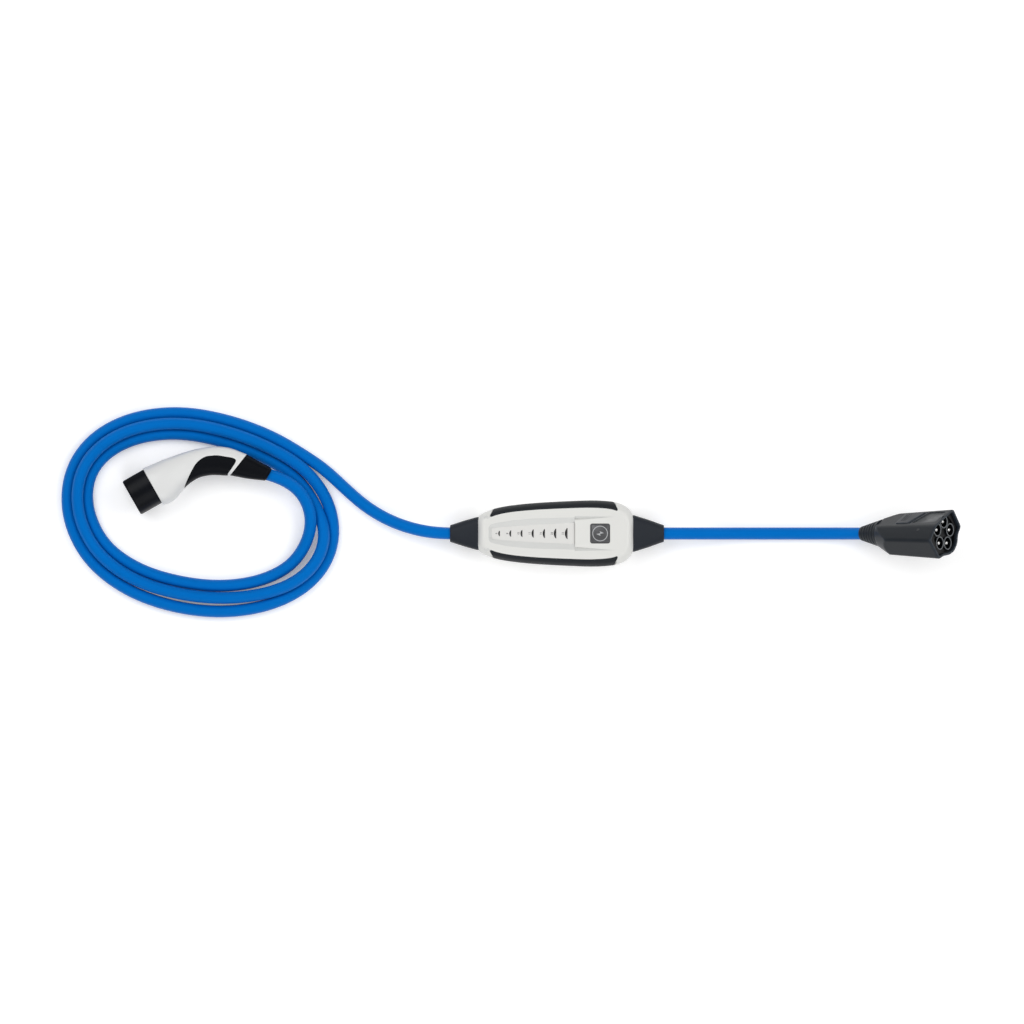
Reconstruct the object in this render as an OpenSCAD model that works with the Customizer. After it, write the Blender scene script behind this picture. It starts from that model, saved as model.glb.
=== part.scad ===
// Portable charging unit for electric cars: a control box with a short supply lead on the right,
// which ends in a five-pin coupler, and a coiled vehicle lead on the left, which ends in a car connector.
// Millimetres. The origin is under the middle of the control box with its boots, on the surface it lies on.

/* [Control box] */
// Length of the housing without its boots
housing_l = 228; // [210:1:260]
// Greatest width of the housing
housing_w = 95.6; // [90:0.2:110]
// Height of the housing
housing_h = 58; // [54:1:66]
// Wall of both housing shells
wall = 3; // [2.6:0.1:3.6]
// Thickness of the two end walls
end_wall = 8; // [7:0.5:10]
// Height of the seal between the shells
seal_h = 0.8; // [0.6:0.1:1.4]
// Width of the seal
seal_w = 1.6; // [1.2:0.1:2]
// How far the upper edge is rounded inwards
shoulder_w = 11; // [9:0.5:13]
// How far down the upper rounding starts
shoulder_h = 21; // [16:1:23]
// How far the lower edge is rounded inwards
foot_w = 7; // [4:0.5:9]
// Height of the lower rounding
foot_h = 12; // [8:1:16]

/* [Grip strips] */
// Width of each grip strip seen from above
strip_w = 10.3; // [8:0.1:11]
// Thickness of the grip strips
strip_t = 1.4; // [1:0.1:1.7]
// Length of the grip strips
strip_l = 189; // [170:1:196]

/* [Boots] */
// Length of the boot on the vehicle side
vehicle_boot_l = 39.2; // [34:0.2:44]
// Length of the boot on the supply side
supply_boot_l = 43.2; // [38:0.2:48]
// Half width of the vehicle boot at the housing
vehicle_boot_half_w = 24; // [21:0.5:25]
// Half width of the supply boot at the housing
supply_boot_half_w = 26.5; // [22:0.5:27]
// Half height of both boots at the housing
boot_half_h = 19; // [17:0.5:20]
// Radius of both boots at the tip
boot_tip_r = 13; // [11.5:0.5:14]

/* [Top of the box] */
// Length of the sunk tray for the current marks
tray_l = 125.6; // [115:0.2:128]
// Half width of the tray at its wide end
tray_half_w = 23.5; // [21:0.5:24]
// Depth of the tray
tray_depth = 3.2; // [2:0.1:3.6]
// Thickness of the panel on the tray floor
panel_t = 1.4; // [1:0.1:1.6]
// Side of the square touch plate
touch_w = 28.8; // [24:0.2:32]
// Thickness of the touch plate
touch_t = 1.6; // [1.2:0.1:2]
// Corner radius of the touch plate
touch_r = 3.2; // [2:0.1:5]
// Length of the largest current mark
mark_l = 14.9; // [12:0.1:16]
// Distance between the current marks
mark_pitch = 16.35; // [15:0.05:17]

/* [Inside the box] */
// Room between each end wall and the main board
board_room = 35; // [33:1:41]
// Width of the main board
board_w = 50; // [46:1:52]
// Thickness of the boards
board_t = 1.6; // [1.2:0.1:2]
// Height of the phase relays
relay_h = 24; // [18:0.5:26]
// Outer radius of the fault current sensor
sensor_r = 14; // [12:0.5:15]
// Gap between the fault current sensor and the main board
sensor_gap = 1.4; // [0.6:0.1:3]

/* [Cables] */
// Diameter of both cables
cable_d = 17.5; // [16:0.1:17.6]
// Sides of the cable solids
cable_sides = 10; // [8:1:12]

/* [Car connector] */
// Length from the contact face to the end of its boot
connector_l = 200; // [190:1:212]
// Radius of the round sleeve
sleeve_r = 31.5; // [30.5:0.1:31.8]
// Distance of the flat on the sleeve from its middle
sleeve_flat = 24; // [22:0.5:26]
// Length of the sleeve
sleeve_l = 35; // [31:0.5:37]
// Wall of the sleeve
sleeve_wall = 3; // [2.4:0.1:3.4]
// Half width of the connector shells at the front
connector_half_w = 33; // [32.5:0.5:36]
// Wall of the connector shells
connector_wall = 4.6; // [4.2:0.1:5]
// Thickness of the soft grip insert
insert_t = 2.2; // [1.6:0.1:2.6]
// Bore of the power contacts
power_bore_r = 3.05; // [3:0.01:3.2]
// Bore of the pilot contacts
pilot_bore_r = 1.55; // [1.5:0.01:1.7]

/* [Supply coupler] */
// Length of the coupler with its ribbed boot
coupler_l = 147; // [140:1:156]
// Length of the ribbed boot
coupler_boot_l = 36; // [32:1:42]
// Tilt of the coupler above level
coupler_tilt = 34; // [30:0.5:38]
// Radius that the outline of the coupler body follows
coupler_r = 42; // [41:0.5:44]
// Wall of the coupler housing
coupler_wall = 3.2; // [2.8:0.1:3.6]
// Radius of the circle of pins
pin_circle_r = 17.2; // [16.8:0.1:18]
// Outer radius of the collars around the pins
collar_r = 9.6; // [9:0.1:9.9]
// Radius of the pins
pin_r = 3; // [2.8:0.1:3.4]

/* [Hidden] */

$fn = 64;
fit_gap = 0.15;
cut_over = 1;
film = 0.02;
curve_steps = 2;
shoulder_steps = 4;

housing_dark = [0.18, 0.19, 0.2];
housing_white = [0.9, 0.9, 0.89];
rubber_black = [0.13, 0.14, 0.16];
board_green = [0.1, 0.35, 0.22];
metal_grey = [0.72, 0.73, 0.75];
cable_blue = [0.01, 0.42, 0.75];

// The box lies with its two boots along X, and its middle is the middle of all three.
housing_mid_x = (vehicle_boot_l - supply_boot_l) / 2;
housing_x0 = housing_mid_x - housing_l / 2;
housing_x1 = housing_mid_x + housing_l / 2;
mid_z = housing_h / 2;
cable_r = cable_d / 2;
half_seal = seal_h / 2;

// Half outline of the housing seen from above: share of its length from the middle, share of its half width.
outline_shares = [[-0.5, 0.4], [-0.478, 0.57], [-0.405, 0.728], [-0.303, 0.835], [-0.15, 0.916],
    [0.03, 0.968], [0.2, 1], [0.3, 0.992], [0.384, 0.946], [0.435, 0.858], [0.478, 0.68], [0.5, 0.44]];

function last(p) = p[len(p) - 1];
function reversed(p) = [for (i = [len(p) - 1:-1:0]) p[i]];
function ease(t) = let (c = min(1, max(0, t))) c * c * (3 - 2 * c);
function unit(v) = v / norm(v);
function power(c, n) = sign(c) * pow(abs(c), 2 / n);
function spline_point(a, b, c, d, t) =
    (2 * b + (c - a) * t + (2 * a - 5 * b + 4 * c - d) * t * t + (3 * b - 3 * c + d - a) * t * t * t) / 2;
function spline(p, n) = concat([for (i = [0:len(p) - 2]) for (j = [0:n - 1])
    spline_point(p[max(i - 1, 0)], p[i], p[i + 1], p[min(i + 2, len(p) - 1)], j / n)], [last(p)]);

housing_half = spline([for (s = outline_shares) [s[0] * housing_l, s[1] * housing_w / 2]], curve_steps);
housing_outline = concat(housing_half, [for (p = reversed(housing_half)) [p[0], -p[1]]]);
// The outline drawn in by inset at its two ends and at its widest place.
function housing_inset(inset) = [for (p = housing_outline)
    [housing_mid_x + p[0] * (1 - 2 * inset / housing_l), p[1] * (1 - 2 * inset / housing_w)]];

// A solid through rings of points. The rings run counter-clockwise, seen from behind the first one.
module loft(rings) {
    n = len(rings[0]);
    m = len(rings);
    points = [for (ring = rings) for (p = ring) p];
    sides = [for (i = [0:m - 2]) for (k = [0:n - 1]) let (l = (k + 1) % n)
        for (f = [[i * n + k, i * n + l, (i + 1) * n + l], [i * n + k, (i + 1) * n + l, (i + 1) * n + k]]) f];
    start = [for (k = [n - 1:-1:0]) k];
    end = [for (k = [0:n - 1]) (m - 1) * n + k];
    polyhedron(points = points, faces = concat([start], sides, [end]), convexity = 6);
}

// A round cable along a route: each ring stands square to the way the route runs there.
function route_way(p, i) = unit(p[min(i + 1, len(p) - 1)] - p[max(i - 1, 0)]);
function cable_ring(c, way, r, sides) =
    let (side = unit(cross(way, [0, 0, 1])), up = cross(side, way))
    [for (k = [0:sides - 1]) c + r * (cos(360 * k / sides) * side + sin(360 * k / sides) * up)];
module cable(route, r, sides) {
    loft([for (i = [0:len(route) - 1]) cable_ring(route[i], route_way(route, i), r, sides)]);
}

module rounded_square(w, r) {
    square([w, w - 2 * r], center = true);
    square([w - 2 * r, w], center = true);
    for (x = [-1, 1], y = [-1, 1])
        translate([x * (w / 2 - r), y * (w / 2 - r)]) circle(r);
}

// A machine screw that points down, with the underside of its head at z = 0.
module screw(head_r, head_h, shank_r, shank_l) {
    cylinder(r = head_r, h = head_h);
    translate([0, 0, -shank_l]) cylinder(r = shank_r, h = shank_l + film);
}

// Control box: forms

module housing_plan(inset) {
    polygon(housing_inset(inset));
}

function housing_ring(inset, z) = [for (p = housing_inset(inset)) [p[0], p[1], z]];

// The upper half of the box as one solid, drawn in by inset and starting lower by over.
module upper_form(inset, over = 0) {
    loft(concat([housing_ring(inset, mid_z + half_seal - over)], [for (i = [0:shoulder_steps])
        let (a = 90 * i / shoulder_steps) housing_ring(inset + shoulder_w * (1 - cos(a)),
            housing_h - shoulder_h + (shoulder_h - inset) * sin(a))]));
}

module lower_form(inset, over = 0) {
    loft(concat([for (i = [shoulder_steps:-1:0])
        let (a = 90 * i / shoulder_steps) housing_ring(inset + foot_w * (1 - cos(a)),
            foot_h - (foot_h - inset) * sin(a))], [housing_ring(inset, mid_z - half_seal + over)]));
}

module cavity_limit() {
    translate([housing_x0 + end_wall, -housing_w, 0])
        cube([housing_l - 2 * end_wall, 2 * housing_w, housing_h]);
}

// Boots: a rounded block at the housing that narrows to a round tip.
boot_sunk = 4;
boot_neck_r = 14;
boot_flange_r = 17;
boot_flange_t = 3;
boot_tip_round = 3;
boot_round_share = 0.7;
boot_sides = 32;
boot_root_power = 4.5;
boot_mid_power = 3.4;
boot_tip_power = 2.6;
boot_end_power = 2.2;

function boot_ring(x, half_y, half_z, n) = [for (k = [0:boot_sides - 1])
    let (a = 360 * k / boot_sides) [x, -half_y * power(cos(a), n), mid_z + half_z * power(sin(a), n)]];
function boot_root(x, half_w, grow) = boot_ring(x, half_w + grow, boot_half_h + grow, boot_root_power);

// Side is 1 for the boot that points along +X.
module boot_at(side) {
    translate([side > 0 ? housing_x1 : housing_x0, 0, 0]) mirror([side > 0 ? 0 : 1, 0, 0]) children();
}

module boot_body(side, half_w, l) {
    end_r = boot_tip_r - boot_tip_round * boot_round_share;
    boot_at(side) loft([boot_root(-boot_sunk, half_w, 0), boot_root(0, half_w, 0),
        boot_ring(l / 2, (half_w + boot_tip_r) / 2, (boot_half_h + boot_tip_r) / 2, boot_mid_power),
        boot_ring(l - boot_tip_round, boot_tip_r, boot_tip_r, boot_tip_power),
        boot_ring(l, end_r, end_r, boot_end_power)]);
}

module boot(side, half_w, l) {
    x0 = side > 0 ? housing_x1 : housing_x0;
    neck_l = end_wall - boot_sunk + fit_gap;
    color(rubber_black) difference() {
        union() {
            boot_body(side, half_w, l);
            translate([x0, 0, mid_z]) rotate([0, -90 * side, 0]) {
                cylinder(r = boot_neck_r, h = boot_sunk + neck_l);
                translate([0, 0, boot_sunk + neck_l]) cylinder(r = boot_flange_r, h = boot_flange_t);
            }
        }
        translate([x0 - side * (end_wall + boot_flange_t + cut_over), 0, mid_z]) rotate([0, 90 * side, 0])
            cylinder(r = cable_r + fit_gap, h = end_wall + boot_flange_t + l + 2 * cut_over);
    }
}

// What both boots need cut out of the housing: a pocket for the root and a round hole for the neck.
module boot_cuts() {
    for (side = [-1, 1]) {
        half_w = side > 0 ? supply_boot_half_w : vehicle_boot_half_w;
        boot_at(side) loft([boot_root(-boot_sunk - fit_gap, half_w, fit_gap),
            boot_root(cut_over, half_w, fit_gap)]);
        translate([side > 0 ? housing_x1 : housing_x0, 0, mid_z]) rotate([0, -90 * side, 0])
            cylinder(r = boot_neck_r + fit_gap, h = end_wall + cut_over);
    }
}

// Housing screws come from below into bosses of the upper shell.
screw_places = [for (s = [[-0.36, 0.52], [0, 0.74], [0.345, 0.76]], y = [-1, 1])
    [housing_mid_x + s[0] * housing_l, y * s[1] * housing_w / 2]];
boss_r = 4.2;
housing_screw_r = 1.5;
housing_screw_head_r = 2.9;
housing_screw_head_h = 2.4;
housing_screw_l = 24;
housing_screw_pocket_h = 8;

module at_screws() {
    for (p = screw_places) translate([p[0], p[1], 0]) children();
}

module housing_screws() {
    color(metal_grey) at_screws() translate([0, 0, housing_screw_pocket_h]) mirror([0, 0, 1])
        screw(housing_screw_head_r, housing_screw_head_h, housing_screw_r, housing_screw_l);
}

// Board posts and board. The board lies so low that the sensor on it is level with the cables.
board_l = housing_l - 2 * end_wall - 2 * board_room;
post_h = mid_z - sensor_r - sensor_gap - board_t - wall;
post_r = 3.4;
board_screw_r = 1.2;
board_screw_head_r = 2.2;
board_screw_head_h = 1.6;
board_screw_l = 7;
post_inset = 5;
board_mid_x = housing_mid_x;
board_z = wall + post_h;
board_top = board_z + board_t;
post_places = [for (x = [-1, 1], y = [-1, 1])
    [board_mid_x + x * (board_l / 2 - post_inset), y * (board_w / 2 - post_inset)]];

// Saddles for the cable jackets stand on the floor of the lower shell.
clamp_l = 9;
clamp_w = 38;
clamp_h = 5;
clamp_back = 5;
clamp_screw_y = 14;
clamp_screw_r = 1.6;
clamp_screw_head_r = 3;
clamp_screw_head_h = 2.2;
clamp_screw_l = 14;
clamp_split = 1.2;

function clamp_x(side) = side > 0
    ? housing_x1 - end_wall - boot_flange_t - clamp_back - clamp_l / 2
    : housing_x0 + end_wall + boot_flange_t + clamp_back + clamp_l / 2;

module clamp_bore() {
    translate([-clamp_l, 0, mid_z]) rotate([0, 90, 0]) cylinder(r = cable_r + fit_gap / 2, h = 2 * clamp_l);
}

module lower_shell() {
    color(housing_white) difference() {
        union() {
            difference() {
                lower_form(0);
                intersection() {
                    lower_form(wall, cut_over);
                    cavity_limit();
                }
            }
            intersection() {
                lower_form(wall / 2);
                union() {
                    at_screws() cylinder(r = boss_r, h = mid_z - half_seal);
                    for (p = post_places) translate([p[0], p[1], wall / 2])
                        cylinder(r = post_r, h = board_z - wall / 2);
                    for (side = [-1, 1]) translate([clamp_x(side) - clamp_l / 2, -clamp_w / 2, wall / 2])
                        cube([clamp_l, clamp_w, mid_z - wall / 2 - clamp_split]);
                }
            }
        }
        boot_cuts();
        at_screws() {
            translate([0, 0, -cut_over])
                cylinder(r = housing_screw_head_r + fit_gap, h = housing_screw_pocket_h + cut_over);
            cylinder(r = housing_screw_r + fit_gap, h = housing_h);
        }
        for (p = post_places) translate([p[0], p[1], board_top - board_screw_l - fit_gap])
            cylinder(r = board_screw_r, h = board_screw_l);
        for (side = [-1, 1]) translate([clamp_x(side), 0, 0]) {
            clamp_bore();
            for (y = [-1, 1]) translate([0, y * clamp_screw_y, mid_z + clamp_h - clamp_screw_l - fit_gap])
                cylinder(r = clamp_screw_r, h = clamp_screw_l);
        }
    }
}

module cable_clamp(side) {
    color(housing_dark) translate([clamp_x(side), 0, 0]) difference() {
        union() {
            translate([-clamp_l / 2, -clamp_w / 2, mid_z - clamp_split + fit_gap])
                cube([clamp_l, clamp_w, clamp_h + clamp_split - fit_gap]);
            translate([-clamp_l / 2, 0, mid_z]) rotate([0, 90, 0])
                difference() {
                    cylinder(r = cable_r + clamp_h / 2, h = clamp_l);
                    translate([0, -clamp_w, -cut_over]) cube([clamp_w, 2 * clamp_w, clamp_l + 2 * cut_over]);
                }
        }
        clamp_bore();
        for (y = [-1, 1]) translate([0, y * clamp_screw_y, 0])
            cylinder(r = clamp_screw_r + fit_gap, h = housing_h);
    }
}

module vehicle_cable_clamp() {
    cable_clamp(-1);
}

module supply_cable_clamp() {
    cable_clamp(1);
}

module clamp_screws() {
    color(metal_grey) for (side = [-1, 1], y = [-1, 1])
        translate([clamp_x(side), y * clamp_screw_y, mid_z + clamp_h])
            screw(clamp_screw_head_r, clamp_screw_head_h, clamp_screw_r, clamp_screw_l);
}

// Top of the box: the tray, its panel with the marks, and the touch plate

tray_start_share = 0.073;
tray_x0 = housing_x0 + tray_start_share * housing_l;
tray_x1 = tray_x0 + tray_l;
tray_shares = [[0, 0.36], [0.03, 0.56], [0.12, 0.68], [0.28, 0.82], [0.54, 0.93], [1, 1]];
floor_shares = [[0.04, 0.2], [0.06, 0.34], [0.28, 0.45], [0.6, 0.56], [1, 0.66]];
tray_back_h = 8;
sliver_l = 58;
sliver_w = 3.4;
sliver_foot_w = 0.7;
mark_first = 16;
mark_width_share = 0.19;
mark_shares = [0.456, 0.564, 0.624, 0.732, 0.805, 0.893, 1];
led_w = 3;
led_h = 1.2;
led_board_half_w = 8;
touch_share = 0.283;
touch_x = housing_mid_x + touch_share * housing_l;

module tray_plan(shares, grow) {
    half = [for (s = shares) [tray_x0 + s[0] * tray_l, s[1] * tray_half_w]];
    offset(delta = grow) polygon(concat(half, [for (p = reversed(half)) [p[0], -p[1]]]));
}

module tray_cut() {
    hull() {
        translate([0, 0, housing_h]) linear_extrude(cut_over) tray_plan(tray_shares, 0);
        translate([0, 0, housing_h - tray_depth]) linear_extrude(film) tray_plan(floor_shares, 0);
    }
    for (y = [-1, 1]) hull() {
        translate([tray_x1 - film, y * (tray_half_w - sliver_w / 2), housing_h - tray_depth])
            cube([film, sliver_foot_w, film]);
        translate([tray_x1 - film, y * tray_half_w - sliver_w / 2, housing_h])
            cube([film, sliver_w, film]);
        translate([tray_x1 + sliver_l, y * (tray_half_w + sliver_w / 4), housing_h])
            cube([film, film, film]);
    }
}

// One mark is the part of a disc beyond a chord, with its flat side towards +X.
module mark_plan(l, grow) {
    depth = l * mark_width_share;
    r = l * l / (8 * depth) + depth / 2;
    intersection() {
        translate([r - depth, 0]) circle(r + grow);
        translate([-depth - grow, -l / 2 - grow]) square([depth + 2 * grow, l + 2 * grow]);
    }
}

module at_marks(grow) {
    for (i = [0:len(mark_shares) - 1])
        translate([tray_x0 + mark_first + i * mark_pitch, 0]) mark_plan(mark_l * mark_shares[i], grow);
}

// The ends of the strips slant inwards from their inner corners.
strip_start_y = 20;
strip_corner_y = 28;
strip_slope = 0.55;
module strip_region(side, grow) {
    x0 = housing_mid_x - strip_l / 2 - grow;
    x1 = housing_mid_x + strip_l / 2 + grow;
    near = strip_slope * (strip_corner_y - strip_start_y);
    far = strip_slope * (housing_w - strip_corner_y);
    translate([0, 0, mid_z + seal_h + 2 * fit_gap - grow]) linear_extrude(housing_h) difference() {
        polygon([[x0 - near, side * strip_start_y], [x1 + near, side * strip_start_y],
            [x1 - far, side * housing_w], [x0 + far, side * housing_w]]);
        housing_plan(strip_w + grow);
    }
}

module grip_strip(side) {
    color(housing_dark) intersection() {
        difference() {
            upper_form(0);
            upper_form(strip_t);
        }
        strip_region(side, 0);
    }
}

module grip_strip_left() {
    grip_strip(1);
}

module grip_strip_right() {
    grip_strip(-1);
}

module upper_shell() {
    panel_z = housing_h - tray_depth - panel_t;
    color(housing_white) difference() {
        union() {
            difference() {
                upper_form(0);
                intersection() {
                    upper_form(wall, cut_over);
                    cavity_limit();
                }
            }
            intersection() {
                upper_form(wall / 2);
                union() {
                    at_screws() translate([0, 0, mid_z]) cylinder(r = boss_r, h = mid_z);
                    translate([tray_x0, -tray_half_w, housing_h - tray_back_h])
                        cube([tray_l + wall, 2 * tray_half_w, tray_back_h]);
                }
            }
            at_screws() translate([0, 0, mid_z - half_seal]) cylinder(r = boss_r, h = seal_h + film);
        }
        boot_cuts();
        for (side = [-1, 1]) difference() {
            strip_region(side, fit_gap);
            upper_form(strip_t + fit_gap);
        }
        tray_cut();
        translate([0, 0, panel_z]) linear_extrude(panel_t + film) tray_plan(floor_shares, fit_gap);
        translate([0, 0, housing_h - tray_back_h - cut_over]) linear_extrude(tray_back_h) at_marks(fit_gap);
        translate([touch_x, 0, housing_h - touch_t]) linear_extrude(touch_t + cut_over)
            rounded_square(touch_w + 2 * fit_gap, touch_r + fit_gap);
        at_screws() cylinder(r = housing_screw_r, h = housing_screw_pocket_h + housing_screw_l + fit_gap);
    }
}

module housing_seal() {
    color(rubber_black) translate([0, 0, mid_z - half_seal]) difference() {
        linear_extrude(seal_h) difference() {
            housing_plan(seal_h);
            housing_plan(seal_h + seal_w);
        }
        for (side = [-1, 1]) translate([side > 0 ? housing_x1 : housing_x0, 0, 0])
            cube([2 * boot_sunk + 2 * fit_gap, 2 * supply_boot_half_w + 2 * fit_gap, 2 * seal_h + cut_over],
                center = true);
    }
}

module vehicle_boot() {
    boot(-1, vehicle_boot_half_w, vehicle_boot_l);
}

module supply_boot() {
    boot(1, supply_boot_half_w, supply_boot_l);
}

module indicator_panel() {
    color([0.86, 0.86, 0.85]) translate([0, 0, housing_h - tray_depth - panel_t]) linear_extrude(panel_t)
        difference() {
            tray_plan(floor_shares, 0);
            at_marks(fit_gap);
        }
}

module current_marks() {
    color([0.05, 0.05, 0.06]) translate([0, 0, housing_h - tray_back_h + led_h + fit_gap])
        linear_extrude(tray_back_h - led_h - fit_gap - tray_depth) at_marks(0);
}

module touch_plate() {
    color([0.33, 0.33, 0.33]) translate([touch_x, 0, housing_h - touch_t]) linear_extrude(touch_t)
        rounded_square(touch_w, touch_r);
}

module led_board() {
    color(board_green) translate([tray_x0 + wall, -led_board_half_w, housing_h - tray_back_h - board_t])
        cube([tray_l - wall, 2 * led_board_half_w, board_t]);
}

module leds() {
    color([0.95, 0.95, 0.85]) for (i = [0:len(mark_shares) - 1])
        translate([tray_x0 + mark_first + i * mark_pitch - mark_l * mark_shares[i] * mark_width_share / 2, 0,
            housing_h - tray_back_h + led_h / 2])
            cube([led_h, led_w, led_h], center = true);
}

// Electronics on the main board

relay_l = 20;
relay_w = 15;
relay_gap = 1.5;
sensor_l = 12;
sensor_bore_r = 8;
sensor_foot_w = 20;
terminal_l = 12;
terminal_w = 44;
terminal_h = 22;
terminal_inset = 1;
core_r = 1.9;
core_grid = 2.7;
core_in = 8;
supply_block_l = 31;
supply_block_w = 24;
supply_block_h = 20;
capacitor_r = 5;
capacitor_h = 20;
capacitor_pitch = 12;
core_z = mid_z;

// Between the terminals stand the relays, the supply block with the capacitors beside it, and the sensor.
// The shares say how much of the free length lies before each of the three.
free_shares = [0.34, 0.387, 0.736];
board_x0 = board_mid_x - board_l / 2 + terminal_inset + terminal_l;
board_free = board_l - 2 * terminal_inset - 2 * terminal_l - relay_l - supply_block_l - sensor_l;
relay_x = board_x0 + board_free * free_shares[0];
supply_block_x = board_x0 + relay_l + board_free * free_shares[1];
sensor_x = board_x0 + relay_l + supply_block_l + board_free * free_shares[2];

function terminal_x(side) = board_mid_x + side * (board_l / 2 - terminal_inset - terminal_l / 2);

module main_board() {
    color(board_green) difference() {
        translate([board_mid_x - board_l / 2, -board_w / 2, board_z]) cube([board_l, board_w, board_t]);
        for (p = post_places) translate([p[0], p[1], 0]) cylinder(r = board_screw_r + fit_gap, h = housing_h);
    }
}

module board_screws() {
    color(metal_grey) for (p = post_places) translate([p[0], p[1], board_top])
        screw(board_screw_head_r, board_screw_head_h, board_screw_r, board_screw_l);
}

module phase_relays() {
    color([0.12, 0.12, 0.13]) for (i = [0:2])
        translate([relay_x, (i - 1) * (relay_w + relay_gap) - relay_w / 2, board_top])
            cube([relay_l, relay_w, relay_h]);
}

module mains_supply_block() {
    color([0.15, 0.15, 0.17])
        translate([supply_block_x, -board_w / 2, board_top])
            cube([supply_block_l, supply_block_w, supply_block_h]);
}

module capacitors() {
    color([0.16, 0.2, 0.34]) for (i = [0:2])
        translate([supply_block_x + supply_block_l / 2 + capacitor_r / 2 + (i - 1) * capacitor_pitch,
            board_w / 2 - 2 * capacitor_r, board_top])
            cylinder(r = capacitor_r, h = capacitor_h);
}

module fault_current_sensor() {
    color([0.2, 0.2, 0.22]) difference() {
        union() {
            translate([sensor_x, 0, core_z]) rotate([0, 90, 0])
                cylinder(r = sensor_r, h = sensor_l);
            translate([sensor_x, -sensor_foot_w / 2, board_top])
                cube([sensor_l, sensor_foot_w, core_z - board_top]);
        }
        translate([sensor_x - sensor_l / 2, 0, core_z]) rotate([0, 90, 0])
            cylinder(r = sensor_bore_r, h = 2 * sensor_l);
    }
}

module at_cores() {
    for (y = [-1, 1], z = [-1, 1]) translate([0, y * core_grid, core_z + z * core_grid])
        rotate([0, 90, 0]) children();
}

module terminals(side) {
    color([0.3, 0.33, 0.3]) difference() {
        translate([terminal_x(side) - terminal_l / 2, -terminal_w / 2 + post_inset + post_r, board_top])
            cube([terminal_l, terminal_w - 2 * post_inset - 2 * post_r, terminal_h]);
        translate([terminal_x(side) - terminal_l, 0, 0]) at_cores()
            cylinder(r = core_r + fit_gap, h = 2 * terminal_l);
    }
}

module vehicle_terminals() {
    terminals(-1);
}

module supply_terminals() {
    terminals(1);
}

module vehicle_cores() {
    x0 = clamp_x(-1) + clamp_l / 2 + fit_gap;
    color([0.45, 0.3, 0.2]) translate([x0, 0, 0])
        at_cores() cylinder(r = core_r, h = terminal_x(-1) - x0 + core_in / 2);
}

module supply_cores() {
    x0 = sensor_x - core_in;
    color([0.45, 0.3, 0.2]) translate([x0, 0, 0])
        at_cores() cylinder(r = core_r, h = clamp_x(1) - clamp_l / 2 - fit_gap - x0);
}

// Car connector. It lies on its side, so its own frame is turned about Z:
// x runs back from the contact face, y to its upper side and z across it.

connector_place = [-616.9, 51.2];
connector_turn = 29.6;
sleeve_mid_y = 3.8;
station_sides = 28;

// Each row gives a section of the shells: x and y of its upper edge, x and y of its lower edge,
// as shares of the connector's length, and its half width as a share of the half width at the front.
front_share = sleeve_l / connector_l;
station_shares = [[front_share, 0.149, front_share, -0.157, 1], [0.25, 0.14, 0.23, -0.168, 0.99],
    [0.33, 0.1315, 0.3, -0.155, 0.91], [0.41, 0.1175, 0.37, -0.126, 0.79],
    [0.49, 0.1025, 0.44, -0.1125, 0.68], [0.57, 0.0825, 0.51, -0.114, 0.62],
    [0.647, 0.056, 0.5765, -0.136, 0.58], [0.723, 0.0205, 0.63, -0.165, 0.557],
    [0.803, -0.0395, 0.67, -0.191, 0.54], [0.883, -0.1355, 0.7025, -0.209, 0.527]];
boot_station_shares = [[0.883, -0.1355, 0.7025, -0.209, 0.5], [0.935, -0.222, 0.8, -0.292, 0.47],
    [0.985, -0.302, 0.893, -0.36, 0.44], [0.992, -0.32, 0.906, -0.372, 0.38]];
insert_shares = [[0.368, -0.1225], [0.415, -0.085], [0.462, -0.0515], [0.52, -0.015], [0.567, -0.001],
    [0.616, 0], [0.692, -0.0335], [0.79, -0.1135], [0.797, -0.14], [0.72, -0.18], [0.69, -0.19],
    [0.65, -0.3], [0.33, -0.25]];
shell_power = 2.7;

module connector_at() {
    translate([connector_place[0], connector_place[1], connector_half_w]) rotate([0, 0, connector_turn])
        children();
}

function station_ring(s, inset, n) =
    let (top = [s[0], s[1], 0] * connector_l, low = [s[2], s[3], 0] * connector_l,
        mid = (top + low) / 2, half = norm(low - top) / 2, way = unit(low - top))
    [for (k = [0:station_sides - 1]) let (a = 360 * k / station_sides)
        mid + way * (half - inset) * power(cos(a), n)
            + [0, 0, (s[4] * connector_half_w - inset) * power(sin(a), n)]];

module shell_form(inset) {
    loft([for (s = station_shares) station_ring(s, inset, shell_power)]);
}

// A section moved by d along way.
function moved(s, way, d) =
    let (m = d / connector_l * way) [s[0] + m[0], s[1] + m[1], s[2] + m[0], s[3] + m[1], s[4]];
shell_end = last(station_shares);
shell_end_way = unit([shell_end[1] - shell_end[3], shell_end[2] - shell_end[0]]);
// The hollow starts behind a front wall and runs out at the boot.
hollow_shares = concat([moved(station_shares[0], [1, 0], connector_wall)],
    [for (i = [1:len(station_shares) - 1]) station_shares[i]], [moved(shell_end, shell_end_way, cut_over)]);

// One half of the shells, above or below the seam; its flat side stands over the seam by over.
function half_ring(s, inset, side, over) =
    let (top = [s[0], s[1], 0] * connector_l, low = [s[2], s[3], 0] * connector_l,
        mid = (top + low) / 2, half = norm(low - top) / 2, way = unit(low - top),
        ring = [for (k = [0:station_sides / 2]) let (a = 360 * k / station_sides)
            mid + way * (half - inset) * power(cos(a), shell_power)
                + [0, 0, side * (k == 0 || k == station_sides / 2 ? -over
                    : (s[4] * connector_half_w - inset) * power(sin(a), shell_power))]])
    side > 0 ? ring : reversed(ring);
module half_form(shares, side, inset, over) {
    loft([for (s = shares) half_ring(s, inset, side, over)]);
}

module insert_region(grow) {
    translate([0, 0, -connector_half_w]) linear_extrude(2 * connector_half_w)
        offset(delta = grow) polygon([for (s = insert_shares) s * connector_l]);
}

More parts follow.
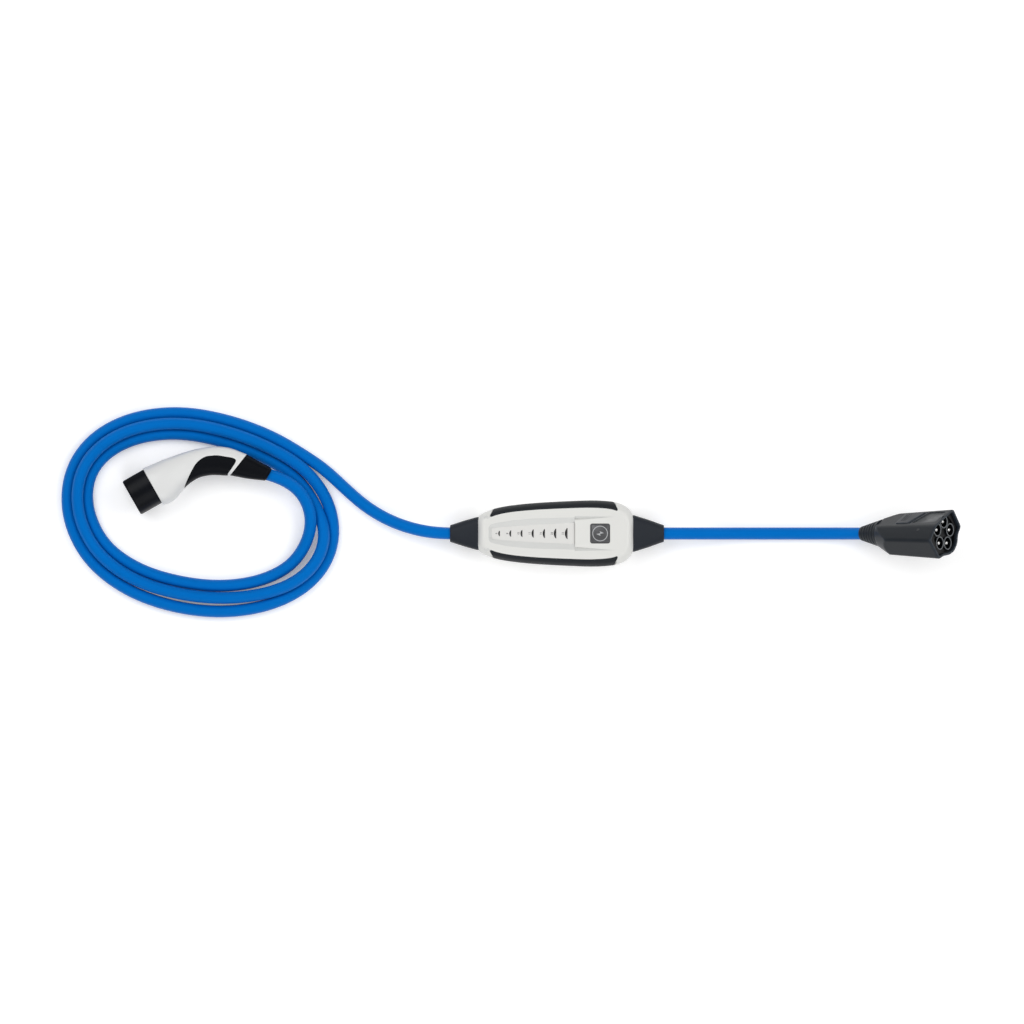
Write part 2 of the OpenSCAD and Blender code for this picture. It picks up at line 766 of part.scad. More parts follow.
connector_screw_shares = [[0.3, 0.06], [0.3, -0.09], [0.56, 0.04], [0.735, -0.02]];
connector_boss_r = 3.4;
connector_screw_r = 1.3;
connector_screw_head_r = 2.4;
connector_screw_head_h = 1.8;
connector_screw_deep = 12;
connector_screw_l = 20;
spigot_l = 14;
spigot_inset = 6.2;
carrier_in = 2;

module at_connector_screws() {
    for (s = connector_screw_shares) translate([s[0] * connector_l, s[1] * connector_l, 0]) children();
}

// Side is 1 for the half that faces up as the connector lies.
module connector_shell(side) {
    color([0.9, 0.91, 0.92]) connector_at() difference() {
        union() {
            difference() {
                half_form(station_shares, side, 0, 0);
                half_form(hollow_shares, side, connector_wall, cut_over);
            }
            intersection() {
                half_form(station_shares, side, connector_wall / 2, 0);
                at_connector_screws() translate([0, 0, side > 0 ? 0 : -connector_half_w])
                    cylinder(r = connector_boss_r, h = connector_half_w);
            }
        }
        difference() {
            insert_region(fit_gap);
            shell_form(insert_t + fit_gap);
        }
        translate([-cut_over, 0, 0]) sleeve_prism(sleeve_r - spigot_inset + fit_gap,
            sleeve_flat - spigot_inset + fit_gap, sleeve_l + spigot_l + cut_over + fit_gap);
        at_connector_screws() {
            translate([0, 0, -connector_half_w])
                cylinder(r = side > 0 ? connector_screw_r : connector_screw_r + fit_gap,
                    h = connector_half_w - connector_screw_deep + connector_screw_l + fit_gap);
            translate([0, 0, -connector_half_w - cut_over])
                cylinder(r = connector_screw_head_r + fit_gap,
                    h = connector_half_w + cut_over - connector_screw_deep);
        }
    }
}

module connector_shell_upper() {
    connector_shell(1);
}

module connector_shell_lower() {
    connector_shell(-1);
}

module connector_grip_insert() {
    color(rubber_black) connector_at() difference() {
        intersection() {
            shell_form(0);
            insert_region(0);
        }
        shell_form(insert_t);
    }
}

module connector_screws() {
    color(metal_grey) connector_at() at_connector_screws() translate([0, 0, -connector_screw_deep])
        mirror([0, 0, 1])
            screw(connector_screw_head_r, connector_screw_head_h, connector_screw_r, connector_screw_l);
}

// A round bar along x with a flat on its upper side, as the sleeve has.
module sleeve_prism(r, flat, l) {
    translate([0, sleeve_mid_y, 0]) rotate([90, 0, 90]) linear_extrude(l) intersection() {
        circle(r);
        translate([-r, -r]) square([r + flat, 2 * r]);
    }
}

module connector_sleeve() {
    color(rubber_black) connector_at() difference() {
        union() {
            sleeve_prism(sleeve_r, sleeve_flat, sleeve_l);
            sleeve_prism(sleeve_r - spigot_inset, sleeve_flat - spigot_inset, sleeve_l + spigot_l);
        }
        translate([-cut_over, 0, 0]) sleeve_prism(sleeve_r - sleeve_wall, sleeve_flat - sleeve_wall,
            sleeve_l - sleeve_wall + cut_over);
        translate([-cut_over, 0, 0]) sleeve_prism(sleeve_r - spigot_inset - sleeve_wall,
            sleeve_flat - spigot_inset - sleeve_wall, sleeve_l + spigot_l + 2 * cut_over);
    }
}

// Places of the contacts around the middle of the sleeve: height towards the flat, and across.
row_pitch = 16.5;
low_row = 14.5;
low_half = 8.5;
pilot_row = 11.5;
pilot_half = 7.2;
power_places = [[0, 0], [0, row_pitch], [0, -row_pitch], [-low_row, low_half], [-low_row, -low_half]];
pilot_places = [[pilot_row, pilot_half], [pilot_row, -pilot_half]];
power_hole_r = 6.7;
pilot_hole_r = 4.4;
power_contact_r = 4.5;
pilot_contact_r = 3;
contact_in = 3;
carrier_floor = 4;
hole_l = sleeve_l - carrier_in - carrier_floor - sleeve_wall;

module at_contacts(places) {
    for (p = places) translate([0, sleeve_mid_y + p[0], p[1]]) rotate([0, 90, 0]) children();
}

module contact_carrier() {
    color([0.1, 0.1, 0.11]) connector_at() difference() {
        translate([carrier_in, 0, 0]) sleeve_prism(sleeve_r - sleeve_wall - fit_gap,
            sleeve_flat - sleeve_wall - fit_gap, sleeve_l - sleeve_wall - carrier_in - fit_gap);
        translate([carrier_in - cut_over, 0, 0]) {
            at_contacts(power_places) cylinder(r = power_hole_r, h = hole_l + cut_over);
            at_contacts(pilot_places) cylinder(r = pilot_hole_r, h = hole_l + cut_over);
        }
    }
}

module contacts(places, outer, bore) {
    color(metal_grey) connector_at() translate([carrier_in + contact_in, 0, 0]) at_contacts(places)
        difference() {
            cylinder(r = outer, h = hole_l - contact_in);
            translate([0, 0, -cut_over])
                cylinder(r = bore, h = hole_l - contact_in - carrier_floor + cut_over);
        }
}

module power_contacts() {
    contacts(power_places, power_contact_r, power_bore_r);
}

module pilot_contacts() {
    contacts(pilot_places, pilot_contact_r, pilot_bore_r);
}

// Supply coupler. Its own frame has z along its axis, out of the face, and y to the left of the box's length.

coupler_rear = [442.3, 0, 24.5];
coupler_face = coupler_rear + coupler_l * [cos(coupler_tilt), 0, sin(coupler_tilt)];
// Outline of the body: x and y as shares of the radius it follows.
coupler_shares = [[0.467, 0.86], [-0.636, 0.293], [-0.836, 0.02], [-1.019, -0.26], [-0.431, -0.9],
    [-0.145, -0.781], [0.221, -0.743], [0.52, -0.62], [0.72, -0.36], [0.776, 0], [0.952, 0.245]];
coupler_nose_l = coupler_l - coupler_boot_l;
coupler_mouth = 4;
coupler_carrier_l = 30;
coupler_taper = 0.2;
coupler_inset_share = 1.5;
coupler_cone_l = 42;
coupler_cone_r = 21.5;
coupler_limit_r = 45;
coupler_boot_r = 20.5;
coupler_boot_tip_r = 10.2;
coupler_plug_r = 13;
coupler_plug_in = 8;
rib_pitch = 5.6;
rib_deep = 1;
rib_w = 1.8;
rib_count = 4;
latch_shares = [0.18, 0.8];
latch_l = 40;
latch_t = 2;
latch_slant = 12;
latch_from_face = 44;
window_deep = 1.4;
window_from_face = 7;

module coupler_at() {
    translate(coupler_face) rotate([0, 90 - coupler_tilt, 0]) children();
}

// The outline at height z, drawn in by inset. The body narrows from the face backwards.
function coupler_ring(inset, z) =
    let (r = coupler_r * (1 + coupler_taper * z / coupler_nose_l) - coupler_inset_share * inset)
    [for (s = coupler_shares) [s[0] * r, s[1] * r, z]];

module coupler_form(inset, z0, z1) {
    intersection() {
        translate([0, 0, -coupler_nose_l]) rotate_extrude() polygon([[0, 0], [coupler_cone_r - inset, 0],
            [coupler_limit_r - inset, coupler_cone_l], [coupler_limit_r - inset, coupler_l], [0, coupler_l]]);
        loft([coupler_ring(inset, z0), coupler_ring(inset, z1)]);
    }
}

// The latch side is the flat between the first two corners of the outline.
latch_a = coupler_shares[0] * coupler_r;
latch_b = coupler_shares[1] * coupler_r;
latch_turn = atan2(latch_b[1] - latch_a[1], latch_b[0] - latch_a[0]);
latch_side_l = norm(latch_b - latch_a);
latch_side_r = norm(cross([latch_a[0], latch_a[1], 0], [latch_b[0], latch_b[1], 0])) / latch_side_l;
latch_tilt = atan(latch_side_r * coupler_taper / coupler_nose_l);

// Lays a plan on the latch side: x along the flat from its first corner, y back from the face, z outwards.
module on_latch_side() {
    translate([latch_a[0], latch_a[1], 0]) rotate([0, 0, latch_turn]) rotate([latch_tilt - 90, 0, 0])
        mirror([0, 0, 1]) children();
}

module latch_plan(grow) {
    x0 = latch_side_l * latch_shares[0] - grow;
    x1 = latch_side_l * latch_shares[1] + grow;
    y0 = latch_from_face - grow;
    y1 = y0 + latch_l + grow - latch_slant / 2;
    polygon([[x0, y0], [x1, y0 + latch_slant], [x1, y1], [x0, y1]]);
}

module coupler_housing() {
    color(rubber_black) coupler_at() difference() {
        coupler_form(0, 0, -coupler_nose_l);
        coupler_form(coupler_wall, cut_over, coupler_wall - coupler_nose_l);
        translate([0, 0, -coupler_nose_l - cut_over])
            cylinder(r = coupler_plug_r + fit_gap, h = coupler_wall + 2 * cut_over);
        on_latch_side() {
            translate([0, 0, -latch_t / 2]) linear_extrude(latch_t) latch_plan(fit_gap);
            translate([latch_side_l * latch_shares[0], window_from_face, -window_deep])
                cube([latch_side_l * (latch_shares[1] - latch_shares[0]),
                    latch_from_face - window_from_face - wall, 2 * window_deep]);
        }
        coupler_screw_cut(fit_gap);
    }
}

module coupler_latch_cover() {
    color(housing_dark) coupler_at() on_latch_side() translate([0, 0, -latch_t / 2 + fit_gap])
        linear_extrude(latch_t) latch_plan(0);
}

module coupler_boot() {
    color(rubber_black) coupler_at() translate([0, 0, -coupler_l]) difference() {
        union() {
            cylinder(r1 = coupler_boot_tip_r, r2 = coupler_boot_r, h = coupler_boot_l - fit_gap);
            translate([0, 0, coupler_boot_l - coupler_plug_in])
                cylinder(r = coupler_plug_r, h = 2 * coupler_plug_in + coupler_wall);
        }
        for (i = [1:rib_count]) translate([0, 0, i * rib_pitch]) rib_cut(i * rib_pitch);
        translate([0, 0, -cut_over]) cylinder(r = cable_r + fit_gap, h = coupler_l);
    }
}

module rib_cut(z) {
    r = coupler_boot_tip_r + (coupler_boot_r - coupler_boot_tip_r) * z / coupler_boot_l;
    difference() {
        cylinder(r = 2 * r, h = rib_w);
        translate([0, 0, -cut_over]) cylinder(r = r - rib_deep, h = rib_w + 2 * cut_over);
    }
}

module at_pins() {
    for (a = [18:72:306]) rotate([0, 0, a]) translate([pin_circle_r, 0, 0]) children();
}

collar_t = 1.3;
groove_deep = 2.5;
pin_below = 0.5;
pin_length = 24;
pin_seat = 4;

module pin_carrier() {
    color([0.05, 0.06, 0.07]) coupler_at() difference() {
        loft([coupler_ring(coupler_wall + fit_gap, -coupler_mouth),
            coupler_ring(coupler_wall + fit_gap, -coupler_mouth - coupler_carrier_l)]);
        difference() {
            translate([0, 0, -coupler_mouth - groove_deep])
                cylinder(r = pin_circle_r + collar_r - fit_gap, h = groove_deep + cut_over);
            translate([0, 0, -coupler_mouth - 2 * groove_deep])
                at_pins() cylinder(r = collar_r, h = 3 * groove_deep);
        }
        translate([0, 0, -coupler_mouth - pin_length - pin_below]) at_pins() {
            cylinder(r = collar_r - collar_t, h = pin_length + pin_below + cut_over);
            translate([0, 0, -pin_seat]) cylinder(r = pin_r + fit_gap, h = pin_length);
        }
        coupler_screw_place()
            cylinder(r = coupler_screw_r, h = coupler_screw_deep + coupler_screw_l + fit_gap);
    }
}

module coupler_pins() {
    color(metal_grey) coupler_at() translate([0, 0, -coupler_mouth - pin_length - pin_below]) at_pins() {
        translate([0, 0, -pin_seat]) cylinder(r = pin_r, h = pin_length + pin_seat - pin_r);
        translate([0, 0, pin_length - pin_r]) sphere(pin_r);
    }
}

coupler_screw_r = 2;
coupler_screw_l = 4.4;
coupler_screw_deep = 1.4;
coupler_screw_from_face = 29;
coupler_screw_side_share = 0.5;

// The housing screw sits in the flat side below the latch side and points inwards.
module coupler_screw_place() {
    a = coupler_shares[1] * coupler_r;
    b = coupler_shares[2] * coupler_r;
    m = a + (b - a) * coupler_screw_side_share;
    translate([m[0], m[1], -coupler_screw_from_face]) rotate([0, 0, atan2(b[1] - a[1], b[0] - a[0])])
        rotate([-90, 0, 0]) children();
}

module coupler_screw_cut(grow) {
    coupler_screw_place() translate([0, 0, -cut_over])
        cylinder(r = coupler_screw_r + grow, h = 2 * coupler_wall);
}

module coupler_screw() {
    color(metal_grey) coupler_at() coupler_screw_place() translate([0, 0, coupler_screw_deep])
        cylinder(r = coupler_screw_r, h = coupler_screw_l);
}

// Cables. The vehicle cable leaves the left boot, lies in an oval coil of almost three turns
// and rises from its inner turn into the handle of the car connector.

coil_mid = [-516, 31];
coil_a = 197;
coil_b = 138;
coil_turn = -17;
coil_first = 50;
coil_step = 20;
coil_rings = 51;
step_from = 36;
step_to = 88;
stack_d = 18.6;
soften = 12;
// Distance from turn to turn, as the way round goes from 0 to 360.
pitch_table = [[0, 18.6], [36, 18.8], [54, 16.2], [90, 15.4], [110, 15], [150, 14.2], [180, 13.2],
    [205, 15], [235, 15.4], [262, 18.4], [300, 18.6], [360, 18.6]];
// How far the outer turn lies outside the true oval.
bulge_table = [[0, 0], [185, 0], [205, 4], [225, 11], [245, 11], [265, 5], [285, 1], [310, -2],
    [340, -2], [360, 0]];
// How far the middle turn leans towards the outer one.
lean_table = [[0, 6.6], [16, 6], [40, -0.5], [50, 0], [250, 0], [275, -1.4], [300, -1], [335, 6],
    [360, 6.6]];
middle_from = 390;
middle_to = 750;

function around(a) = (a + 720) % 360;
function soft_lookup(a, t) =
    (lookup(around(a - soften), t) + 2 * lookup(around(a), t) + lookup(around(a + soften), t)) / 4;
function coil_point(f) =
    let (n = floor(f / 360), a = f - 360 * n,
        turn_no = n - 1 + ease((a - step_from) / (step_to - step_from)),
        middle = f > middle_from && f < middle_to ? 1 : 0,
        pitch = soft_lookup(a, pitch_table),
        lean = middle * soft_lookup(a, lean_table),
        out = soft_lookup(a, bulge_table) - turn_no * pitch + lean,
        near = pitch - abs(lean),
        z = cable_r + middle * sqrt(max(0, stack_d * stack_d - near * near)),
        square_way = unit([coil_b * cos(a), coil_a * sin(a)]),
        p = [coil_a * cos(a), coil_b * sin(a)] + out * square_way)
    [coil_mid[0] + p[0] * cos(coil_turn) - p[1] * sin(coil_turn),
        coil_mid[1] + p[0] * sin(coil_turn) + p[1] * cos(coil_turn), z];

vehicle_lead = [[-155, 0, 29], [-182, 1.5, 28], [-213, 8, 22.5], [-245, 20, 15],
    [-277, 39, 10], [-306, 64, 8.75], [-335, 91, 8.75]];
vehicle_tail = [[-373, -31, 13], [-358, 1, 20], [-357.5, 32, 27], [-371, 60, 30], [-394, 77, 31],
    [-418, 85.5, 32], [-437, 91, 32.5], [-461.5, 98.6, 33], [-477, 103, 33], [-491, 105, 33],
    [-503, 104.5, 33]];
vehicle_route = concat([[clamp_x(-1) + clamp_l / 2, 0, mid_z]], vehicle_lead,
    [for (i = [0:coil_rings - 1]) coil_point(coil_first + i * coil_step)], vehicle_tail);

supply_lead = [[155, 0, 29], [185, 0, 28.3], [215, 0, 22.5], [245, 0, 14], [275, 0, 9.5], [305, 0, 8.75],
    [345, 0, 8.75], [388, 0, 9], [416, 0, 13.5]];
supply_lead_in = 30;
supply_route = concat([[clamp_x(1) - clamp_l / 2, 0, mid_z]], supply_lead,
    [coupler_rear, coupler_rear + supply_lead_in * [cos(coupler_tilt), 0, sin(coupler_tilt)]]);

module vehicle_cable() {
    color(cable_blue) cable(vehicle_route, cable_r, cable_sides);
}

module supply_cable() {
    color(cable_blue) cable(supply_route, cable_r, cable_sides);
}

// The cable runs through the boot on the connector in a straight bore.
boot_bore_from = vehicle_tail[5];
boot_bore_to = vehicle_tail[7];
boot_bore_gap = 0.4;
boot_plug_in = 4;
boot_plug_gap = 1.4;

module boot_plug() {
    loft([for (d = [-boot_plug_in, cut_over])
        station_ring(moved(shell_end, shell_end_way, d), connector_wall + boot_plug_gap, shell_power)]);
}

module connector_boot() {
    way = boot_bore_to - boot_bore_from;
    color(rubber_black) difference() {
        connector_at() union() {
            loft([for (s = boot_station_shares) station_ring(s, 0, shell_power)]);
            boot_plug();
        }
        translate(boot_bore_from - unit(way) * cable_r)
            rotate([0, acos(way[2] / norm(way)), atan2(way[1], way[0])])
                cylinder(r = cable_r + boot_bore_gap, h = norm(way) + 2 * cable_d);
    }
}

lower_shell();
upper_shell();
housing_seal();
grip_strip_left();
grip_strip_right();
vehicle_boot();
supply_boot();
indicator_panel();
current_marks();
touch_plate();
led_board();
leds();
main_board();
phase_relays();
mains_supply_block();
capacitors();
fault_current_sensor();
vehicle_terminals();
supply_terminals();
vehicle_cores();
supply_cores();
vehicle_cable_clamp();
supply_cable_clamp();
clamp_screws();
board_screws();
housing_screws();
connector_shell_upper();
connector_shell_lower();
connector_grip_insert();
connector_sleeve();
contact_carrier();
power_contacts();
pilot_contacts();
connector_screws();
connector_boot();
coupler_housing();
coupler_latch_cover();
coupler_boot();
pin_carrier();
coupler_pins();
coupler_screw();
vehicle_cable();
supply_cable();
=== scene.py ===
import math

import bmesh
import bpy
import numpy as np
from mathutils import Matrix, Vector


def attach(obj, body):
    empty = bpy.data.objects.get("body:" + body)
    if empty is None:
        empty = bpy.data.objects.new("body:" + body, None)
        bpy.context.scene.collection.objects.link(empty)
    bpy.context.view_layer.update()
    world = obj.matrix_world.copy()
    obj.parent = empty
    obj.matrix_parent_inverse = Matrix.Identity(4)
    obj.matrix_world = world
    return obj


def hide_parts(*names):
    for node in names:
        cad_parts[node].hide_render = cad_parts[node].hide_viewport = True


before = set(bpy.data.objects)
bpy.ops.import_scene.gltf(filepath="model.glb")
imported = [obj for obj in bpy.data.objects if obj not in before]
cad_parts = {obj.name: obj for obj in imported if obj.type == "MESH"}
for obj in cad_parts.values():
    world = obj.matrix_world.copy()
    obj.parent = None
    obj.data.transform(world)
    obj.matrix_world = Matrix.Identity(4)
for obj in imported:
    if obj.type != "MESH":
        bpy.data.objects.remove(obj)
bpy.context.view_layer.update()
scene = bpy.context.scene


# Camera. The charger lies on a table and is looked at from straight above, with the coil on the left
# and the supply coupler on the right. A parallel view keeps the far ends as true as the middle.
def in_scene(name, data):
    """A new object in the scene."""
    thing = bpy.data.objects.new(name, data)
    scene.collection.objects.link(thing)
    return thing


view_width = 1.4848
camera_data = bpy.data.cameras.new("camera")
camera_data.type = "ORTHO"
camera_data.ortho_scale = view_width
camera_data.clip_end = 20
camera = in_scene("camera", camera_data)
camera.location = (-0.06525, 0.0312, 2.5)
scene.camera = camera


# Vehicle cable. A five-core cable of 17.5 mm with a blue polyurethane jacket, stiff enough to spring
# into an oval of almost three turns. It leaves the left boot and ends inside the car connector's handle.
cable_d = 17.5


def spline(points, steps):
    """Points on a smooth line through these, steps of them to each stretch."""
    p = np.array(points, float)
    q = np.vstack([2 * p[0] - p[1], p, 2 * p[-1] - p[-2]])
    t = np.linspace(0, 1, steps, endpoint=False)[:, None]
    line = [0.5 * (2 * b + (c - a) * t + (2 * a - 5 * b + 4 * c - d) * t ** 2
                   + (3 * b - 3 * c + d - a) * t ** 3)
            for a, b, c, d in zip(q[:-3], q[1:-2], q[2:-1], q[3:])]
    return np.vstack(line + [p[-1:]])


def smooth_route(points, step=9.0, passes=4):
    """Points every few millimetres on a smooth line through or close to these."""
    fine = spline(points, 16)
    for number in range(passes + 1):
        way = np.concatenate([[0], np.cumsum(np.linalg.norm(np.diff(fine, axis=0), axis=1))])
        even = np.linspace(0, way[-1], max(8, round(way[-1] / step)) + 1)
        fine = np.stack([np.interp(even, way, fine[:, k]) for k in range(3)], axis=1)
        if number < passes:
            fine[1:-1] = (fine[:-2] + 2 * fine[1:-1] + fine[2:]) / 4
    return fine


def cable_curve(name, route):
    """One open curve along the route with a round bevel of the cable's diameter."""
    data = bpy.data.curves.new(name, "CURVE")
    data.dimensions = "3D"
    data.bevel_depth = 1
    data.bevel_resolution = 8
    data.use_fill_caps = True
    line = data.splines.new("POLY")
    line.points.add(len(route) - 1)
    for point, p in zip(line.points, route):
        point.co = (*(p / 1000), 1)
        point.radius = cable_d / 2000
    line.use_smooth = True
    return in_scene(name, data)


def table_value(table, a):
    """Value of a table of (way round in degrees, value), softened over 24 degrees."""
    xs, ys = zip(*table)
    near = [np.interp((a + s) % 360, xs, ys) for s in (-12, 0, 12)]
    return (near[0] + 2 * near[1] + near[2]) / 4


coil_middle = (-516, 31)
coil_half = (197, 138)
coil_turn = math.radians(-17)
coil_pitch = [
    (0, 18.6), (36, 18.8), (54, 16.2), (90, 15.4), (110, 15), (150, 14.2), (180, 13.2), (205, 15),
    (235, 15.4), (262, 18.4), (300, 18.6), (360, 18.6)]
coil_bulge = [
    (0, 0), (185, 0), (205, 4), (225, 11), (245, 11), (265, 5), (285, 1), (310, -2), (340, -2), (360, 0)]
coil_lean = [(0, 6.6), (16, 6), (40, -0.5), (50, 0), (250, 0), (275, -1.4), (300, -1), (335, 6), (360, 6.6)]
step_in_from, step_in_over = 36, 52
middle_turn = (390, 750)
stacked = 18.6


def coil_point(f):
    """Point of the coil at f degrees of the way round: each turn lies inside the one before it,
    and the middle turn rests stacked on its neighbours."""
    n, a = divmod(f, 360)
    s = min(1, max(0, (a - step_in_from) / step_in_over))
    middle = 1 if middle_turn[0] < f < middle_turn[1] else 0
    pitch = table_value(coil_pitch, a)
    lean = middle * table_value(coil_lean, a)
    out = table_value(coil_bulge, a) - (n - 1 + s * s * (3 - 2 * s)) * pitch + lean
    z = cable_d / 2 + middle * math.sqrt(max(0, stacked ** 2 - (pitch - abs(lean)) ** 2))
    c, s = math.cos(math.radians(a)), math.sin(math.radians(a))
    side = math.hypot(coil_half[1] * c, coil_half[0] * s)
    x = coil_half[0] * c + out * coil_half[1] * c / side
    y = coil_half[1] * s + out * coil_half[0] * s / side
    return (coil_middle[0] + x * math.cos(coil_turn) - y * math.sin(coil_turn),
            coil_middle[1] + x * math.sin(coil_turn) + y * math.cos(coil_turn), z)


vehicle_lead = [
    (-128, 0, 29), (-155, 0, 29), (-182, 1.5, 28), (-213, 8, 22.5), (-245, 20, 15), (-277, 39, 10),
    (-306, 64, 8.75), (-335, 91, 8.75)]
vehicle_tail = [
    (-373, -31, 13), (-358, 1, 20), (-357.5, 32, 27), (-371, 60, 30), (-394, 77, 31), (-418, 85.5, 32),
    (-437, 91, 32.5), (-461.5, 98.6, 33), (-477, 103, 33), (-491, 105, 33), (-503, 104.5, 33)]
vehicle_route = smooth_route(vehicle_lead + [coil_point(50 + 20 * i) for i in range(51)] + vehicle_tail)
vehicle_cable = cable_curve("vehicle_cable_jacket", vehicle_route)

# Supply cable. The same cable, 0.3 m long between the box and the coupler. It lies flat on the table
# and lifts at its end, where the stiff jacket holds the coupler up.
coupler_tilt = math.radians(34)
coupler_rear = (442.3, 0, 24.5)
cable_in_coupler = 30
supply_end = (coupler_rear[0] + cable_in_coupler * math.cos(coupler_tilt), 0,
              coupler_rear[2] + cable_in_coupler * math.sin(coupler_tilt))
supply_route = smooth_route([
    (128, 0, 29), (155, 0, 29), (185, 0, 28.3), (215, 0, 22.5), (245, 0, 14), (275, 0, 9.5), (305, 0, 8.75),
    (345, 0, 8.75), (388, 0, 9), (416, 0, 13.5), coupler_rear, supply_end])
supply_cable = cable_curve("supply_cable_jacket", supply_route)

for piece, node in ((vehicle_cable, "vehicle_cable"), (supply_cable, "supply_cable")):
    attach(piece, "root")
    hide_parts(node)


# Jacket of both cables: matt blue polyurethane. Fine scuffs dull it in places, and the lay of the cores
# under it shows as a faint waviness.
def new_group(name, inputs, outputs):
    """An empty node group with named inputs (name, type, value) and outputs (name, type)."""
    group = bpy.data.node_groups.new(name, "ShaderNodeTree")
    for label, kind, value in inputs:
        socket = group.interface.new_socket(label, in_out="INPUT", socket_type=f"NodeSocket{kind}")
        socket.default_value = value
    for label, kind in outputs:
        group.interface.new_socket(label, in_out="OUTPUT", socket_type=f"NodeSocket{kind}")
    return group, group.nodes.new("NodeGroupInput"), group.nodes.new("NodeGroupOutput")


def add_node(tree, kind, inputs=None, **settings):
    """A node with its settings and inputs; an input is a value or the socket that feeds it."""
    node = tree.nodes.new(kind)
    for key, value in settings.items():
        setattr(node, key, value)
    for key, value in (inputs or {}).items():
        if isinstance(value, bpy.types.NodeSocket):
            tree.links.new(value, node.inputs[key])
        else:
            node.inputs[key].default_value = value
    return node


def maths(tree, way, a, b):
    """The outcome of a Math node on two numbers or sockets."""
    return add_node(tree, "ShaderNodeMath", {0: a, 1: b}, operation=way).outputs[0]


def noise(tree, vector, scale, detail, **more):
    """The grey value of a noise texture."""
    inputs = {"Vector": vector, "Scale": scale, "Detail": detail, **more}
    return add_node(tree, "ShaderNodeTexNoise", inputs).outputs["Fac"]


def stretched(tree, vector, scale, turn=0.0):
    """A vector stretched along its axes and turned about Z."""
    inputs = {"Vector": vector, "Scale": scale, "Rotation": (0.0, 0.0, turn)}
    return add_node(tree, "ShaderNodeMapping", inputs).outputs[0]


def put_out(tree, group_out, *sockets):
    """Links a surface's colour, roughness and normal to what the group puts out."""
    for socket, target in zip(sockets, group_out.inputs):
        tree.links.new(socket, target)


surface_outputs = [("Colour", "Color"), ("Roughness", "Float"), ("Normal", "Vector")]

# Moulded surface: a fine grain as the bump, soft blotches of shade, thin scuffs that lighten and dull it,
# and a painted highlight that makes edges a little brighter than the flats.
moulded, group_in, group_out = new_group("moulded_surface", [
    ("Colour", "Color", (0.5, 0.5, 0.5, 1)), ("Shade", "Float", 0.05), ("Blotches", "Float", 25.0),
    ("Roughness", "Float", 0.4), ("Wear", "Float", 0.08), ("Grain", "Float", 2500.0),
    ("Depth", "Float", 0.1), ("Edges", "Float", 0.0), ("Scuffs", "Float", 0.0)], surface_outputs)
given = group_in.outputs
where = add_node(moulded, "ShaderNodeTexCoord").outputs["Object"]
centred = maths(moulded, "SUBTRACT", noise(moulded, where, given["Blotches"], 3.0), 0.5)
bright = maths(moulded, "ADD", maths(moulded, "MULTIPLY", centred, given["Shade"]), 1.0)
# Painted highlight: convex edges, found by their pointiness, are made lighter than the flats.
form = add_node(moulded, "ShaderNodeNewGeometry").outputs["Pointiness"]
edge = add_node(moulded, "ShaderNodeMapRange", {"Value": form, "From Min": 0.51, "From Max": 0.6})
bright = maths(moulded, "ADD", bright, maths(moulded, "MULTIPLY", edge.outputs[0], given["Edges"]))
tinted = add_node(moulded, "ShaderNodeVectorMath", {0: given["Colour"], "Scale": bright}, operation="SCALE")
rubbed = noise(moulded, stretched(moulded, where, (1.0, 3.5, 1.0), 0.6), 130.0, 6.0, Distortion=1.6)
thin = add_node(moulded, "ShaderNodeMapRange", {"Value": rubbed, "From Min": 0.62, "From Max": 0.74})
scuff = maths(moulded, "MULTIPLY", thin.outputs[0], given["Scuffs"])
scuffed = add_node(
    moulded, "ShaderNodeMix",
    {0: maths(moulded, "MULTIPLY", scuff, 0.12), 6: tinted.outputs[0], 7: (0.4, 0.4, 0.4, 1)},
    data_type="RGBA")
rough = maths(moulded, "ADD", maths(moulded, "MULTIPLY", centred, given["Wear"]), given["Roughness"])
rough = maths(moulded, "ADD", rough, maths(moulded, "MULTIPLY", scuff, 0.3))
grain_bump = add_node(
    moulded, "ShaderNodeBump",
    {"Strength": given["Depth"], "Distance": 0.0002, "Height": noise(moulded, where, given["Grain"], 2.0)})
put_out(moulded, group_out, scuffed.outputs[2], rough, grain_bump.outputs[0])


def moulded_finish(name, colour, group=moulded, **values):
    """A material of the group's surface; values set the group's inputs or the shader's own sockets."""
    material = bpy.data.materials.new(name)
    material.use_nodes = True
    tree = material.node_tree
    shader = tree.nodes["Principled BSDF"]
    surface = add_node(tree, "ShaderNodeGroup", node_tree=group)
    surface.inputs["Colour"].default_value = (*colour, 1)
    for key, value in values.items():
        label = key.replace("_", " ")
        (surface if label in surface.inputs else shader).inputs[label].default_value = value
    for output, label in zip(surface.outputs, ("Base Color", "Roughness", "Normal")):
        tree.links.new(output, shader.inputs[label])
    material.diffuse_color = (*colour, 1)
    return material


jacket_blue = moulded_finish(
    "cable_jacket_blue", (0.0005, 0.137, 0.5), Roughness=0.46, Shade=0.12, Blotches=14, Grain=900,
    Depth=0.12, Scuffs=0.05, Specular_IOR_Level=0.4, Specular_Tint=(0.03, 0.35, 0.9, 1))
for piece in (vehicle_cable, supply_cable):
    piece.data.materials.append(jacket_blue)

# Control box shells. Two halves moulded in white polycarbonate meet halfway up at a thin seal; six screws
# from below hold them. The upper half has a sunk tray, a pocket for the touch plate and the strips' beds.
box_l, box_w, box_h = 228, 95.6, 58
box_x = -2
seam_z = box_h / 2
box_wall, end_wall, play, seal_half = 3, 8, 0.15, 0.4
side_shares = [
    (-0.5, 0.4), (-0.478, 0.57), (-0.405, 0.728), (-0.303, 0.835), (-0.15, 0.916), (0.03, 0.968), (0.2, 1),
    (0.3, 0.992), (0.384, 0.946), (0.435, 0.858), (0.478, 0.68), (0.5, 0.44)]


